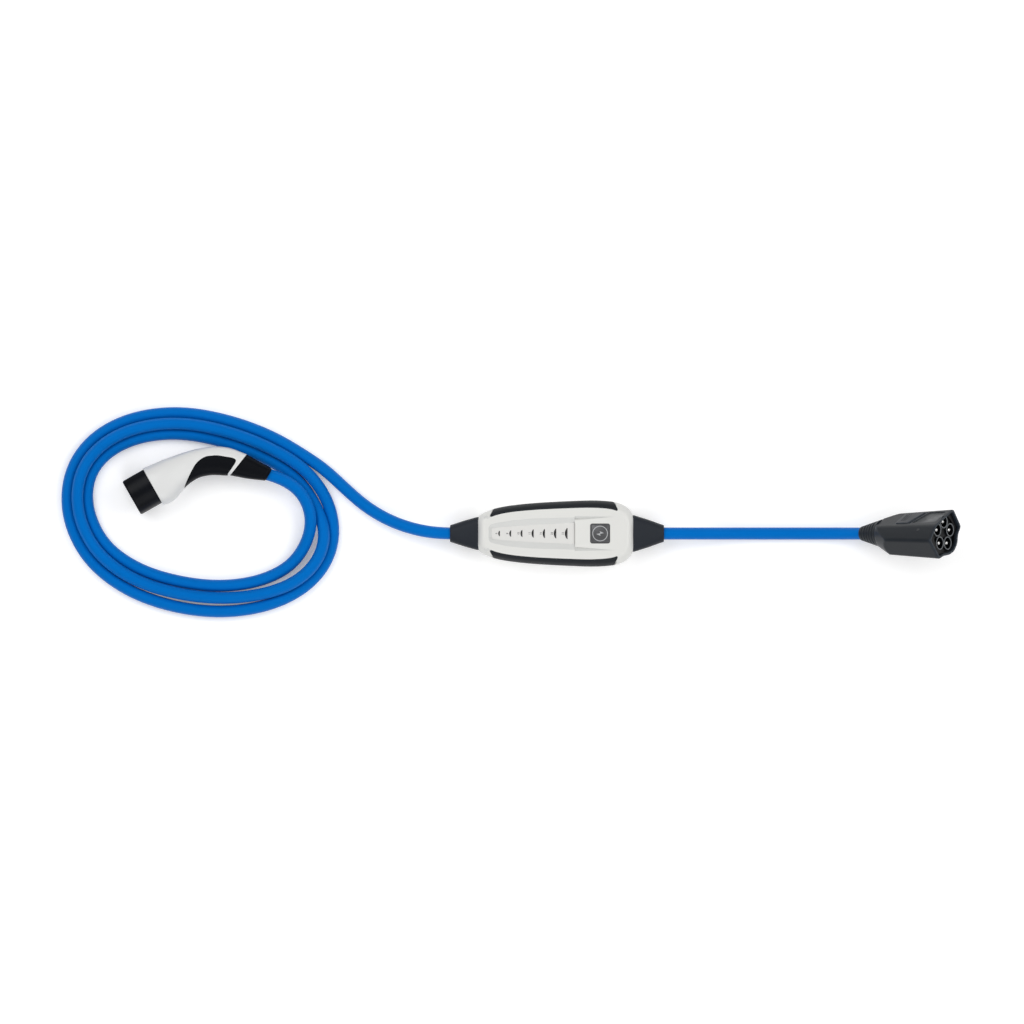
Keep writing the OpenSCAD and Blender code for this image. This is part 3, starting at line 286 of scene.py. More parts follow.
def evenly(points, count, passes=0):
    """A closed flat line through these points as count even steps, its corners softened in passes."""
    closed = np.vstack([points, points[:1]])
    way = np.concatenate([[0], np.cumsum(np.linalg.norm(np.diff(closed, axis=0), axis=1))])
    at = np.linspace(0, way[-1], count, endpoint=False)
    line = np.stack([np.interp(at, way, closed[:, k]) for k in range(2)], axis=1)
    for _ in range(passes):
        line = (np.roll(line, 1, axis=0) + 2 * line + np.roll(line, -1, axis=0)) / 4
    return line


def mirrored(half):
    """A closed line from its half with y above 0, given along +x."""
    return np.vstack([half, half[::-1] * (1, -1)])


def keep_sharp(mesh, smooth):
    """Shades a bmesh smooth but for edges sharper than smooth degrees."""
    for edge in mesh.edges:
        edge.smooth = edge.is_manifold and edge.calc_face_angle(0) < math.radians(smooth)


def new_piece(name, mesh, smooth=35):
    """An object of a bmesh in millimetres."""
    bmesh.ops.recalc_face_normals(mesh, faces=mesh.faces)
    for face in mesh.faces:
        face.smooth = True
    keep_sharp(mesh, smooth)
    data = bpy.data.meshes.new(name)
    mesh.to_mesh(data)
    mesh.free()
    data.transform(Matrix.Scale(0.001, 4))
    return in_scene(name, data)


def solid(name, *stacks, loop=False, smooth=35):
    """Closed forms through stacks of rings of points in millimetres. The ends are capped, or with loop
    the last ring joins the first one, as on a tube."""
    mesh = bmesh.new()
    for rings in stacks:
        rows = [[mesh.verts.new(p) for p in ring] for ring in rings]
        for a, b in zip(rows, rows[1:] + rows[:1] if loop else rows[1:]):
            for i in range(len(a)):
                j = (i + 1) % len(a)
                mesh.faces.new((a[i], a[j], b[j], b[i]))
        if not loop:
            mesh.faces.new(rows[0])
            mesh.faces.new(rows[-1])
    return new_piece(name, mesh, smooth)


def carve(piece, *tools, way="DIFFERENCE", smooth=35):
    """Cuts the tools out of the piece, or keeps what they share, and removes them."""
    for tool in tools:
        cut = piece.modifiers.new(tool.name, "BOOLEAN")
        cut.operation = way
        cut.solver = "EXACT"
        cut.object = tool
    view = bpy.context.evaluated_depsgraph_get()
    result = bpy.data.meshes.new_from_object(piece.evaluated_get(view))
    mesh = bmesh.new()
    mesh.from_mesh(result)
    bmesh.ops.remove_doubles(mesh, verts=mesh.verts, dist=2e-6)
    keep_sharp(mesh, smooth)
    piece.modifiers.clear()
    mesh.to_mesh(piece.data)
    mesh.free()
    for tool in tools:
        bpy.data.objects.remove(tool)
    return piece


def plate(name, line, *heights):
    """A solid over a closed flat line. A height is z, or z with a share by which the line is drawn in."""
    centre = np.mean(line, axis=0)
    rings = []
    for height in heights:
        z, inset = height if isinstance(height, tuple) else (height, 0)
        half = np.abs(np.array(line) - centre).max(axis=0)
        rings.append([(*(centre + (p - centre) * (1 - inset / half)), z) for p in np.array(line)])
    return solid(name, rings)


def circle(x, y, r, count=48):
    """A round line about x, y."""
    turn = np.linspace(0, 2 * math.pi, count, endpoint=False)
    return np.stack([x + r * np.cos(turn), y + r * np.sin(turn)], axis=1)


def turned_rings(profile, count=48, x=0, y=0):
    """The rings that a profile of (radius, height) makes about x, y."""
    return [[(px, py, z) for px, py in circle(x, y, r, count)] for r, z in profile]


def pegs(name, spots, r, z0, z1, count=48):
    """A round peg at each spot."""
    return [plate(name, circle(x, y, r, count), z0, z1) for x, y in spots]


def box_shape(x0, x1, y0, y1):
    """The line of a rectangle."""
    return np.array([(x0, y0), (x1, y0), (x1, y1), (x0, y1)], float)


def dress(piece, material, slot_name, *nodes):
    """Gives a piece its finish and says which CAD nodes it stands for."""
    piece.data.materials.clear()
    piece.data.materials.append(material)
    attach(piece, "root")
    if nodes:
        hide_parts(*nodes)


def finish_nodes(nodes, *finish, **values):
    """Puts a finish on the CAD nodes that stay, named in one text with blanks between them."""
    material = moulded_finish(*finish, **values)
    for node in nodes.split():
        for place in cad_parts[node].material_slots:
            place.material = material


half_line = spline([(x * box_l, y * box_w / 2) for x, y in side_shares], 6)
box_line = evenly(mirrored(half_line), 240, passes=2)


def box_ring(inset, z, end=0):
    """The outline of the box at height z, drawn in by inset; end keeps it clear of the end walls."""
    line = box_line * (1 - 2 * inset / box_l, 1 - 2 * inset / box_w)
    far = box_l / 2 - end
    return [(box_x + np.clip(x, -far, far), y, z) for x, y in line]


def shoulder(inset, width, height, steps=12):
    """Inset and height of each step of a quarter round, from the wall to the flat."""
    turn = np.linspace(0, math.pi / 2, steps + 1)
    return [(inset + width * (1 - math.cos(a)), height * math.sin(a)) for a in turn]


shoulder_w, shoulder_h = 11, 21
foot_w, foot_h = 7, 12
top_z = box_h - shoulder_h


def top_rings(inset, end=0):
    """The rings of the upper rounding of the box, from its wall up."""
    return [box_ring(w, top_z + z, end) for w, z in shoulder(inset, shoulder_w, shoulder_h - inset)]


def foot_rings(inset, end=0):
    """The rings of the lower rounding of the box, up to its wall."""
    return [box_ring(w, foot_h - z, end) for w, z in reversed(shoulder(inset, foot_w, foot_h - inset))]


seam_edge, seam_chamfer = 0.8, 0.35
upper_shell = solid("box_upper_shell", [
    box_ring(seam_chamfer, seam_z + seal_half), box_ring(0, seam_z + seam_edge),
    box_ring(0, (seam_z + top_z) / 2)] + top_rings(0))
lower_shell = solid("box_lower_shell", foot_rings(0) + [
    box_ring(0, seam_z - seam_edge), box_ring(seam_chamfer, seam_z - seal_half)])

screw_shares = [(-0.36, 0.52), (0, 0.74), (0.345, 0.76)]
board_half_x, board_half_y = 66, 20
screw_spots = [(box_x + x * box_l, side * y * box_w / 2) for x, y in screw_shares for side in (-1, 1)]
board_spots = [(box_x + x * board_half_x, y * board_half_y) for x in (-1, 1) for y in (-1, 1)]
boot_flange_t, clamp_gap, saddle_half, saddle_w, saddle_low = 3, 5, 4.5, 19, 1.2
clamp_x = box_l / 2 - end_wall - boot_flange_t - clamp_gap - saddle_half
cable_bed_half, cable_bed_r = 6, 8.85
boss_r, post_r, post_top = 4.2, 3.4, 12
tray_l, tray_w, tray_deep = 125.6, 23.5, 3.2
tray_start_share, tray_back = 0.073, 8
tray_x = box_x - box_l / 2 + tray_start_share * box_l

upper_room = solid("upper_room", [box_ring(box_wall, seam_z - 1, end_wall)] + top_rings(box_wall, end_wall))
carve(upper_room, *pegs("boss", screw_spots, boss_r, seam_z - 2, box_h),
      plate("tray_block", box_shape(tray_x, tray_x + tray_l + box_wall, -tray_w, tray_w),
            box_h - tray_back, box_h))
lower_room = solid("lower_room", foot_rings(box_wall, end_wall) + [box_ring(box_wall, seam_z + 1, end_wall)])
carve(lower_room, *pegs("boss", screw_spots, boss_r, 0, seam_z + 2),
      *pegs("post", board_spots, post_r, 0, post_top),
      *[plate("saddle", box_shape(box_x + side * clamp_x - saddle_half, box_x + side * clamp_x + saddle_half,
                                  -saddle_w, saddle_w), 0, seam_z - saddle_low) for side in (-1, 1)])


def power(c, n):
    """A cosine or sine bent so that the ring it makes is squarer than an ellipse where n is over 2."""
    return math.copysign(abs(c) ** (2 / n), c)


def boot_ring(side, x, half_y, half_z, n, count=72):
    """A ring of a boot, x away from the end of the box on that side."""
    turn = [2 * math.pi * (k + 0.5) / count for k in range(count)]
    end = box_x + side * box_l / 2
    return [(end + side * x, half_y * power(math.cos(a), n), seam_z + half_z * power(math.sin(a), n))
            for a in turn]


boot_root_half = {-1: 24, 1: 26.5}
boot_half_h, boot_sunk, boot_neck_r, root_power = 19, 4, 14, 4.5


def boot_beds():
    """What both boots need cut out of a shell: a pocket for the root and a hole for the neck."""
    beds = []
    for side, half in boot_root_half.items():
        beds.append(solid("boot_root_bed", [boot_ring(side, x, half + play, boot_half_h + play, root_power)
                                            for x in (-boot_sunk - play, 2)]))
        beds.append(solid("boot_neck_bed", [boot_ring(side, x, boot_neck_r + play, boot_neck_r + play, 2)
                                            for x in (-end_wall - 1, 2)]))
    return beds


tray_shares = [(0, 0.36), (0.03, 0.56), (0.12, 0.68), (0.28, 0.82), (0.54, 0.93), (1, 1)]
floor_shares = [(0.04, 0.2), (0.06, 0.34), (0.28, 0.45), (0.6, 0.56), (1, 0.66)]


def tray_line(shares):
    """The outline of the tray at its rim or its floor."""
    return evenly(mirrored(spline([(tray_x + x * tray_l, y * tray_w) for x, y in shares], 8)), 160)


def tray_tool():
    """The tray itself, with its sloping walls and a soft rim."""
    rim, floor = tray_line(tray_shares), tray_line(floor_shares)
    rings = []
    for z, share in ((-tray_deep, 0), (-0.7, 0.8), (-0.2, 0.93), (0, 1), (2, 1)):
        rings.append([(*(a + (b - a) * share), box_h + z) for a, b in zip(floor, rim)])
    return solid("tray_tool", rings)


def sliver_tool(side):
    """The notch that runs out from a corner of the tray and fades to a point."""
    foot_y, notch_l, notch_edge = tray_w - 3.4, 58, tray_w + 0.85
    section = [(foot_y, -tray_deep), (foot_y + 0.7, -tray_deep), (tray_w + 1.7, 0), (tray_w + 1.7, 1),
               (foot_y - 0.8, 1), (foot_y - 0.8, 0)]
    rings = []
    for share in np.linspace(0, 1, 8):
        rings.append([(tray_x + tray_l - 0.4 + share * notch_l, side * (y + (notch_edge - y) * share),
                       box_h + (z if z > 0 else z * (1 - share))) for y, z in section])
    return solid("sliver_tool", rings)


touch_w, touch_r, touch_deep = 28.8, 3.2, 1.6
touch_share = 0.283
touch_x = box_x + touch_share * box_l


def round_square(x, half, r):
    """A square line with round corners about x, 0."""
    turn = np.linspace(0, math.pi / 2, 9)
    corners = [((half - r) * sx, (half - r) * sy, start) for sx, sy, start in
               ((1, 1, 0), (-1, 1, 90), (-1, -1, 180), (1, -1, 270))]
    corners = [(x + cx, cy, math.radians(start)) for cx, cy, start in corners]
    return np.array([(cx + r * math.cos(start + a), cy + r * math.sin(start + a))
                     for cx, cy, start in corners for a in turn])


strip_l, strip_w, strip_t = 189, 10.3, 1.4
strip_slope, strip_corner_y, strip_corner_r = 0.55, 28, 3.5
strip_low = seam_z + 1.1


def strip_form(name, side, grow, outer, inner, rim=(0, 0, 0)):
    """A band of the shoulder between two depths under the skin, with slanting ends and round inner
    corners. The rim gives how much deeper the outer face lies at its edge and next to it."""
    turns = np.linspace(0, math.acos(1 - (strip_w + grow) / shoulder_w), 15)
    profile = [(0, z, 0) for z in np.linspace(strip_low - grow, top_z, 6)[:-1]]
    profile += [(shoulder_w * (1 - math.cos(a)), top_z, a) for a in turns]
    xs = np.linspace(-box_l / 2, box_l / 2, 900)
    ys = np.interp(xs, half_line[:, 0], half_line[:, 1])
    rows = []
    for inset, z, a in profile:
        from_edge = min(strip_corner_r, strip_w + grow - inset)
        cut = strip_corner_r - math.sqrt(strip_corner_r ** 2 - (strip_corner_r - from_edge) ** 2)
        reach = strip_l / 2 + grow - cut - strip_slope * (ys * (1 - 2 * inset / box_w) - strip_corner_y)
        inside = xs[np.abs(xs) * (1 - 2 * inset / box_l) < reach]
        steps = np.concatenate([[0, 0.2, 0.6], np.linspace(1.6, np.ptp(inside) - 1.6, 70)])
        steps = np.concatenate([steps, np.ptp(inside) - steps[2::-1]])
        rows.append([(x, np.interp(x, xs, ys), inset, z, a) for x in inside[0] + steps])
    rings = []
    last_column, last_row = len(rows[0]) - 1, len(rows) - 1
    for k in range(last_column + 1):
        ring = []
        for number, row in enumerate(rows):
            edge = min(k, last_column - k, 2 * number, 2 * (last_row - number))
            ring.append((row[k], outer + (rim[edge] if edge < len(rim) else 0)))
        ring += [(row[k], inner) for row in rows[::-1]]
        rings.append([(box_x + x * (1 - 2 * (inset + depth) / box_l),
                       side * y * (1 - 2 * (inset + depth) / box_w),
                       z + (shoulder_h - depth) * math.sin(a)) for (x, y, inset, z, a), depth in ring])
    return solid(name, rings)


mark_l, mark_pitch, mark_first, mark_rim, mark_bulge = 14.9, 16.35, 16, 0.45, 0.19
mark_shares = [0.456, 0.564, 0.624, 0.732, 0.805, 0.893, 1]


def mark_line(number, grow):
    """One mark: the part of a disc beyond a chord, flat towards +X."""
    l = mark_l * mark_shares[number]
    depth = l * mark_bulge
    r = l * l / (8 * depth) + depth / 2
    half = math.asin(min(1, l / 2 / r))
    x = tray_x + mark_first + number * mark_pitch
    arc = [(x + r - depth - (r + grow) * math.cos(a), (r + grow) * math.sin(a))
           for a in np.linspace(-half, half, 17)]
    return np.array(arc + [(x + grow, l / 2 + grow), (x + grow, -l / 2 - grow)] if grow else arc)


panel_t = 1.4
panel_z = box_h - tray_deep
screw_core_r, screw_play_r, screw_head_r, screw_end_z, screw_head_z = 1.5, 1.65, 3.05, 33, 8
carve(upper_shell, upper_room, tray_tool(), sliver_tool(-1), sliver_tool(1), *boot_beds(),
      plate("panel_bed", tray_line(floor_shares), panel_z - panel_t, panel_z + 0.01),
      plate("touch_bed", round_square(touch_x, touch_w / 2 + play, touch_r + play), box_h - touch_deep,
            box_h + 1),
      *[strip_form("strip_bed", side, play, -2, strip_t + play) for side in (-1, 1)],
      *[plate("mark_bed", mark_line(k, mark_rim + play), box_h - tray_back - 1, panel_z) for k in range(7)],
      *pegs("screw_bore", screw_spots, screw_core_r, 0, screw_end_z, 24))
carve(lower_shell, lower_room, *boot_beds(),
      *pegs("screw_bore", screw_spots, screw_play_r, -1, seam_z, 24),
      *pegs("screw_well", screw_spots, screw_head_r, -1, screw_head_z, 32),
      *[solid("cable_bed", [[(box_x + side * clamp_x + reach, y, seam_z + z)
                             for y, z in circle(0, 0, cable_bed_r)]
                            for reach in (-cable_bed_half, cable_bed_half)]) for side in (-1, 1)])
for piece in (upper_shell, lower_shell):
    even = piece.modifiers.new("even_shading", "WEIGHTED_NORMAL")
    even.keep_sharp = True
box_white = moulded_finish(
    "box_white", (0.7, 0.7, 0.675), Roughness=0.38, Shade=0.03, Blotches=16, Grain=2600, Depth=0.07,
    Edges=0.04, Scuffs=0.12)
dress(upper_shell, box_white, "housing_white", "upper_shell")
dress(lower_shell, box_white, "housing_white", "lower_shell")

# Grip strips. Two bands of soft black rubber are moulded into beds along the shoulders, where a hand
# holds the box. They stand a little proud, and their rims are rounded.
rubber_soft = moulded_finish(
    "strip_rubber", (0.0125, 0.0145, 0.0175), Roughness=0.55, Wear=0.16, Shade=0.3, Blotches=30,
    Grain=1800, Depth=0.25, Edges=1, Scuffs=0.15, Specular_IOR_Level=0.16)
for side, word in ((1, "left"), (-1, "right")):
    strip = strip_form(f"box_grip_strip_{word}", side, 0, -0.15, strip_t, rim=(0.5, 0.2, 0.05))
    dress(strip, rubber_soft, "grip_dark", f"grip_strip_{word}")

# Boots of the box. Each cable leaves the box through a tapered boot of hard rubber, rectangular at the
# housing and round at its tip. Its root is let into the end walls, and a flange behind them holds it.
boot_tip_r, boot_tip_round, boot_flange_r = 13, 3, 17
cable_bore_r = cable_d / 2 + play
boot_lengths = {-1: 39.2, 1: 43.2}
boot_rubber = moulded_finish(
    "boot_rubber_black", (0.016, 0.0195, 0.026), Roughness=0.5, Wear=0.14, Shade=0.25, Blotches=40,
    Grain=2000, Depth=0.18, Edges=0.8, Scuffs=0.12, Specular_IOR_Level=0.16)
for side, word in ((-1, "vehicle"), (1, "supply")):
    half, length = boot_root_half[side], boot_lengths[side]
    straight = length - boot_tip_round
    stages = [
        (-boot_sunk, half, boot_half_h, root_power), (0, half, boot_half_h, root_power),
        (length / 2, (half + boot_tip_r) / 2, (boot_half_h + boot_tip_r) / 2, 3.4),
        (straight, boot_tip_r, boot_tip_r, 2.6)]
    places = np.concatenate([[-boot_sunk], np.linspace(0, straight, 22)])
    starts, *forms = zip(*stages)
    rings = [boot_ring(side, x, *[np.interp(x, starts, form) for form in forms]) for x in places]
    for inset, reach in shoulder(0, 0.7 * boot_tip_round, boot_tip_round, 6)[1:]:
        rings.append(boot_ring(side, straight + reach, boot_tip_r - inset, boot_tip_r - inset, 2.3))
    back = -end_wall - play
    for x, r in ((length, cable_bore_r + 0.6), (length - 0.8, cable_bore_r),
                 (back - boot_flange_t, cable_bore_r), (back - boot_flange_t, boot_flange_r),
                 (back, boot_flange_r), (back, boot_neck_r), (-boot_sunk, boot_neck_r)):
        rings.append(boot_ring(side, x, r, r, 2))
    boot = solid(f"box_boot_{word}", rings, loop=True)
    dress(boot, boot_rubber, "boot_rubber", f"{word}_boot")

# Tray with the current marks. A pale panel lies on the tray's floor. Seven smoked light windows of growing
# size are set into it, and each has its charging current printed beside it in plain numbers.
panel = plate("tray_panel", tray_line(floor_shares), panel_z - panel_t, panel_z - 0.1, (panel_z, 0.12))
carve(panel, plate("end_gap", box_shape(tray_x + tray_l - 0.9, tray_x + tray_l + 1, -tray_w, tray_w),
                   panel_z - 3, panel_z + 1),
      *[plate("mark_bed", mark_line(k, mark_rim + play), panel_z - 3, panel_z + 1) for k in range(7)])
panel_finish = moulded_finish(
    "panel_pale_grey", (0.69, 0.685, 0.665), Roughness=0.34, Shade=0.03, Blotches=30, Grain=4000,
    Depth=0.05, Scuffs=0.08)
dress(panel, panel_finish, "panel_grey", "indicator_panel")
# Painted shade: the sloping walls of the tray and of the notches beside it get a greyer colour than the
# housing, standing in for the shade that falls in these recesses.
tray_wall_painted_shade = moulded_finish(
    "tray_wall_painted_shade", (0.62, 0.625, 0.61), Roughness=0.42, Shade=0.03, Blotches=16, Grain=2600,
    Depth=0.07)
upper_shell.data.materials.append(tray_wall_painted_shade)
for face in upper_shell.data.polygons:
    middle = face.center * 1000
    in_tray = tray_x - 1 < middle.x < tray_x + tray_l + 0.5 and abs(middle.y) < tray_w + 0.5
    in_notch = middle.x < tray_x + tray_l + 60 and tray_w - 2 < abs(middle.y) < tray_w + 1.8
    if (in_tray or in_notch) and panel_z - 0.2 < middle.z < box_h - 0.02:
        face.material_index = 1

window_mesh = bmesh.new()
for number in range(7):
    one = plate("window", mark_line(number, mark_rim), box_h - tray_back + 1.4, panel_z - 0.05,
                (panel_z + 0.12, 0.25))
    window_mesh.from_mesh(one.data)
    bpy.data.objects.remove(one)
bmesh.ops.scale(window_mesh, vec=(1000, 1000, 1000), verts=window_mesh.verts)
windows = new_piece("tray_light_windows", window_mesh)
window_smoke = moulded_finish(
    "window_smoked", (0.004, 0.004, 0.005), Roughness=0.12, Wear=0.1, Shade=0.1, Blotches=60, Grain=300,
    Depth=0.02, Coat_Weight=0.4)
dress(windows, window_smoke, "mark_black", "current_marks")

number_mesh = bmesh.new()
number_h, number_gap, number_t = 4.1, 3.3, 0.03
for number, amps in enumerate((6, 8, 10, 13, 16, 20, 32)):
    words = bpy.data.curves.new("number", "FONT")
    words.body = str(amps)
    words.size = number_h
    words.align_x = words.align_y = "CENTER"
    words.extrude = number_t
    written = in_scene("number", words)
    outline = bpy.data.meshes.new_from_object(written.evaluated_get(bpy.context.evaluated_depsgraph_get()))
    left = mark_l * mark_shares[number] * mark_bulge + number_gap
    spot = (tray_x + mark_first + number * mark_pitch - left, 0, panel_z + number_t)
    outline.transform(Matrix.Translation(spot) @ Matrix.Rotation(math.pi / 2, 4, "Z"))
    number_mesh.from_mesh(outline)
    bpy.data.objects.remove(written)
numbers = new_piece("tray_numbers", number_mesh)
print_black = moulded_finish(
    "number_print", (0.012, 0.012, 0.014), Roughness=0.5, Shade=0.3, Blotches=300, Specular_IOR_Level=0.2)
dress(numbers, print_black, "mark_black")

# Touch plate. A square of dark anodised aluminium that senses a finger. It lies flush in its bed with a
# chamfered rim, a milled line near its edge, and a printed ring round a generic spark sign.
touch_line = round_square(touch_x, touch_w / 2, touch_r)
touch_plate = plate(
    "touch_plate_metal", touch_line, box_h - touch_deep, box_h - 0.35, (box_h - 0.05, 0.3), (box_h, 1.6),
    (box_h - 0.12, 1.75), (box_h - 0.12, 2.15), (box_h, 2.3))
sign_from, sign_to = box_h - 0.2, box_h + 0.04
spark_line = [(touch_x + x, y) for x, y in ((5.6, 0.7), (-0.6, 3.4), (0.3, 0.5), (-5.6, -0.7), (0.6, -3.4),
                                            (-0.3, -0.5))]
spark = plate("touch_plate_sign", spark_line, sign_from, sign_to)
ring_profile = ((11.2, sign_from), (11.2, sign_to), (10.2, sign_to), (10.2, sign_from))
sign_ring = solid("touch_plate_ring", turned_rings(ring_profile, 96, touch_x), loop=True)
plate_metal = moulded_finish(
    "touch_plate_grey", (0.088, 0.088, 0.092), Roughness=0.36, Wear=0.12, Shade=0.12, Blotches=45,
    Grain=3500, Depth=0.06, Metallic=0.55)
sign_print = moulded_finish(
    "touch_sign_print", (0.42, 0.43, 0.44), Roughness=0.45, Shade=0.06, Blotches=80)
dress(touch_plate, plate_metal, "touch_grey", "touch_plate")
for piece in (spark, sign_ring):
    dress(piece, sign_print, "touch_grey")

# Seal, screws and electronics of the box. They stay as the frame has them: a silicone seal, zinc-plated
# screws, a lacquered board with sealed relays and capacitors, and terminals with their brown cores.
turned, group_in, group_out = new_group("turned_metal", [
    ("Colour", "Color", (0.6, 0.6, 0.6, 1)), ("Roughness", "Float", 0.3), ("Marks", "Float", 900.0),
    ("Depth", "Float", 0.2), ("Stain", "Float", 0.12)], surface_outputs)
given = group_in.outputs
where = add_node(turned, "ShaderNodeTexCoord").outputs["Object"]
marks = noise(turned, stretched(turned, where, (1.0, 1.0, 9.0)), given["Marks"], 4.0)
darker = maths(turned, "MULTIPLY", noise(turned, where, 160.0, 3.0), given["Stain"])
light = maths(turned, "SUBTRACT", 1.05, darker)
tinted = add_node(turned, "ShaderNodeVectorMath", {0: given["Colour"], "Scale": light}, operation="SCALE")
rough = maths(turned, "ADD", darker, given["Roughness"])
mark_bump = add_node(
    turned, "ShaderNodeBump", {"Strength": given["Depth"], "Distance": 0.0001, "Height": marks})
put_out(turned, group_out, tinted.outputs[0], rough, mark_bump.outputs[0])

finish_nodes("housing_seal", "seal_silicone", (0.02, 0.02, 0.022), Roughness=0.7, Shade=0.2, Blotches=60,
             Grain=1500, Depth=0.15)
finish_nodes("main_board led_board", "board_lacquer", (0.012, 0.12, 0.05), Roughness=0.25, Wear=0.2,
             Shade=0.5, Blotches=220, Grain=1200, Depth=0.2)
finish_nodes("phase_relays mains_supply_block fault_current_sensor vehicle_cable_clamp supply_cable_clamp "
             "coupler_screw", "component_black", (0.018, 0.018, 0.02), Roughness=0.45, Shade=0.25,
             Blotches=120, Grain=2200, Depth=0.15)
finish_nodes("capacitors", "capacitor_sleeve", (0.02, 0.035, 0.11), Roughness=0.3, Shade=0.15, Blotches=90,
             Coat_Weight=0.3)
finish_nodes("vehicle_terminals supply_terminals", "terminal_plastic", (0.1, 0.12, 0.1), Roughness=0.5,
             Shade=0.12, Blotches=90, Grain=2400, Depth=0.12)
finish_nodes("vehicle_cores supply_cores", "core_insulation", (0.16, 0.07, 0.035), Roughness=0.4, Shade=0.18,
             Blotches=150)
finish_nodes("leds", "lamp_resin", (0.8, 0.78, 0.62), Roughness=0.2, Shade=0.05, Blotches=200)
finish_nodes("clamp_screws board_screws housing_screws connector_screws", "screw_zinc", (0.5, 0.5, 0.48),
             group=turned, Metallic=1, Roughness=0.34)

# Connector shells. The handle of the car connector is two glass-filled polyamide halves, white, screwed
# together along a seam. They widen to the round front, and the hand goes behind the bend.
connector_l, connector_half, connector_wall = 200, 33, 4.6
connector_spot, connector_turn = (-0.6169, 0.0512, 0.033), math.radians(29.6)
connector_frame = Matrix.Translation(connector_spot) @ Matrix.Rotation(connector_turn, 4, "Z")
shell_power = 2.7
shell_gap, shell_rise, shell_chamfer = 0.12, 0.5, 0.35
station_shares = [
    (0.175, 0.149, 0.175, -0.157, 1), (0.25, 0.14, 0.23, -0.168, 0.99), (0.33, 0.1315, 0.3, -0.155, 0.91),
    (0.41, 0.1175, 0.37, -0.126, 0.79), (0.49, 0.1025, 0.44, -0.1125, 0.68),
    (0.57, 0.0825, 0.51, -0.114, 0.62), (0.647, 0.056, 0.5765, -0.136, 0.58),
    (0.723, 0.0205, 0.63, -0.165, 0.557), (0.803, -0.0395, 0.67, -0.191, 0.54),
    (0.883, -0.1355, 0.7025, -0.209, 0.527)]


def section_ring(station, inset=0, side=0, over=0, moved=(0, 0), count=96):
    """A ring of the handle at a station, which gives its upper and lower edge and half width. Side 1 or -1
    gives the half above or below the seam, with a small chamfer there; over lets it out over the seam."""
    x0, y0, x1, y1, w = station
    top = np.array((x0, y0)) * connector_l + moved
    low = np.array((x1, y1)) * connector_l + moved
    middle, half = (top + low) / 2, np.linalg.norm(low - top) / 2
    way = (low - top) / (2 * half)

    def place(a, z=None, deeper=0):
        flat = middle + way * (half - inset - deeper) * power(math.cos(a), shell_power)
        return (*flat, (w * connector_half - inset) * power(math.sin(a), shell_power) if z is None else z)

    if side == 0:
        return [place(2 * math.pi * (k + 0.5) / count) for k in range(count)]
    low, high = side * (shell_gap - over), side * (shell_rise - over)
    ring = [place(0, low, shell_chamfer), place(0, high)]
    ring += [place(side * a) for a in np.linspace(0, math.pi, count // 2 + 1)[1:-1]]
    return ring + [place(math.pi, high), place(math.pi, low, shell_chamfer)]


def laid(piece, place):
    """Lays a piece that is made in a frame of its own where that frame is."""
    piece.data.transform(place)
    return piece


stations = [tuple(s) for s in spline(station_shares, 6)]
end_x0, end_y0, end_x1, end_y1 = station_shares[-1][:4]
end_way = np.array((end_y0 - end_y1, end_x1 - end_x0))
end_way = end_way / np.linalg.norm(end_way)
front = stations[0]


def outer_stack(side=0):
    """The rings of the skin of the handle, with a rounded front edge."""
    rings = [section_ring(front, 1.4, side), section_ring(front, 0.4, side, moved=(0.5, 0)),
             section_ring(front, 0, side, moved=(1.5, 0))]
    return rings + [section_ring(s, 0, side) for s in stations[1:]]


def inner_stack(side):
    """The rings of the room inside one half; it runs out at the boot."""
    rings = [section_ring(front, connector_wall, side, 1, moved=(connector_wall, 0))]
    rings += [section_ring(s, connector_wall, side, 1) for s in stations[3:]]
    return rings + [section_ring(stations[-1], connector_wall, side, 1, moved=tuple(end_way))]


def rounded(points, r, steps=5):
    """A closed flat line with its corners rounded over a length r."""
    p = np.array(points, float)
    line = []
    for a, b, c in zip(np.roll(p, 1, axis=0), p, np.roll(p, -1, axis=0)):
        start = b + (a - b) * min(r / np.linalg.norm(a - b), 0.48)
        end = b + (c - b) * min(r / np.linalg.norm(c - b), 0.48)
        line += [(1 - t) ** 2 * start + 2 * t * (1 - t) * b + t * t * end for t in np.linspace(0, 1, steps)]
    return np.array(line)


insert_shares = [
    (0.368, -0.1225), (0.415, -0.085), (0.462, -0.0515), (0.52, -0.015), (0.567, -0.001), (0.616, 0),
    (0.692, -0.0335), (0.79, -0.1135), (0.797, -0.14), (0.72, -0.18), (0.69, -0.19), (0.65, -0.3),
    (0.33, -0.25)]
insert_line = rounded([(x * connector_l, y * connector_l) for x, y in insert_shares], 5)
insert_t, far = 2.2, 40
sleeve_y, sleeve_r, sleeve_flat, sleeve_l, sleeve_wall = 3.8, 31.5, 24, 35, 3
spigot_inset, spigot_l = 6.2, 14


def sleeve_ring(x, inset, count=128):
    """A ring of the round sleeve, flat on its upper side."""
    yz = circle(0, 0, sleeve_r - inset, count)
    yz[:, 0] = np.minimum(yz[:, 0], sleeve_flat - inset)
    yz = evenly(yz, count, passes=1)
    return [(x, sleeve_y + y, z) for y, z in yz]


def handle_core(name, inset):
    """The handle as one solid, drawn in by inset."""
    return solid(name, [section_ring(s, inset) for s in [front] + stations[1:]])


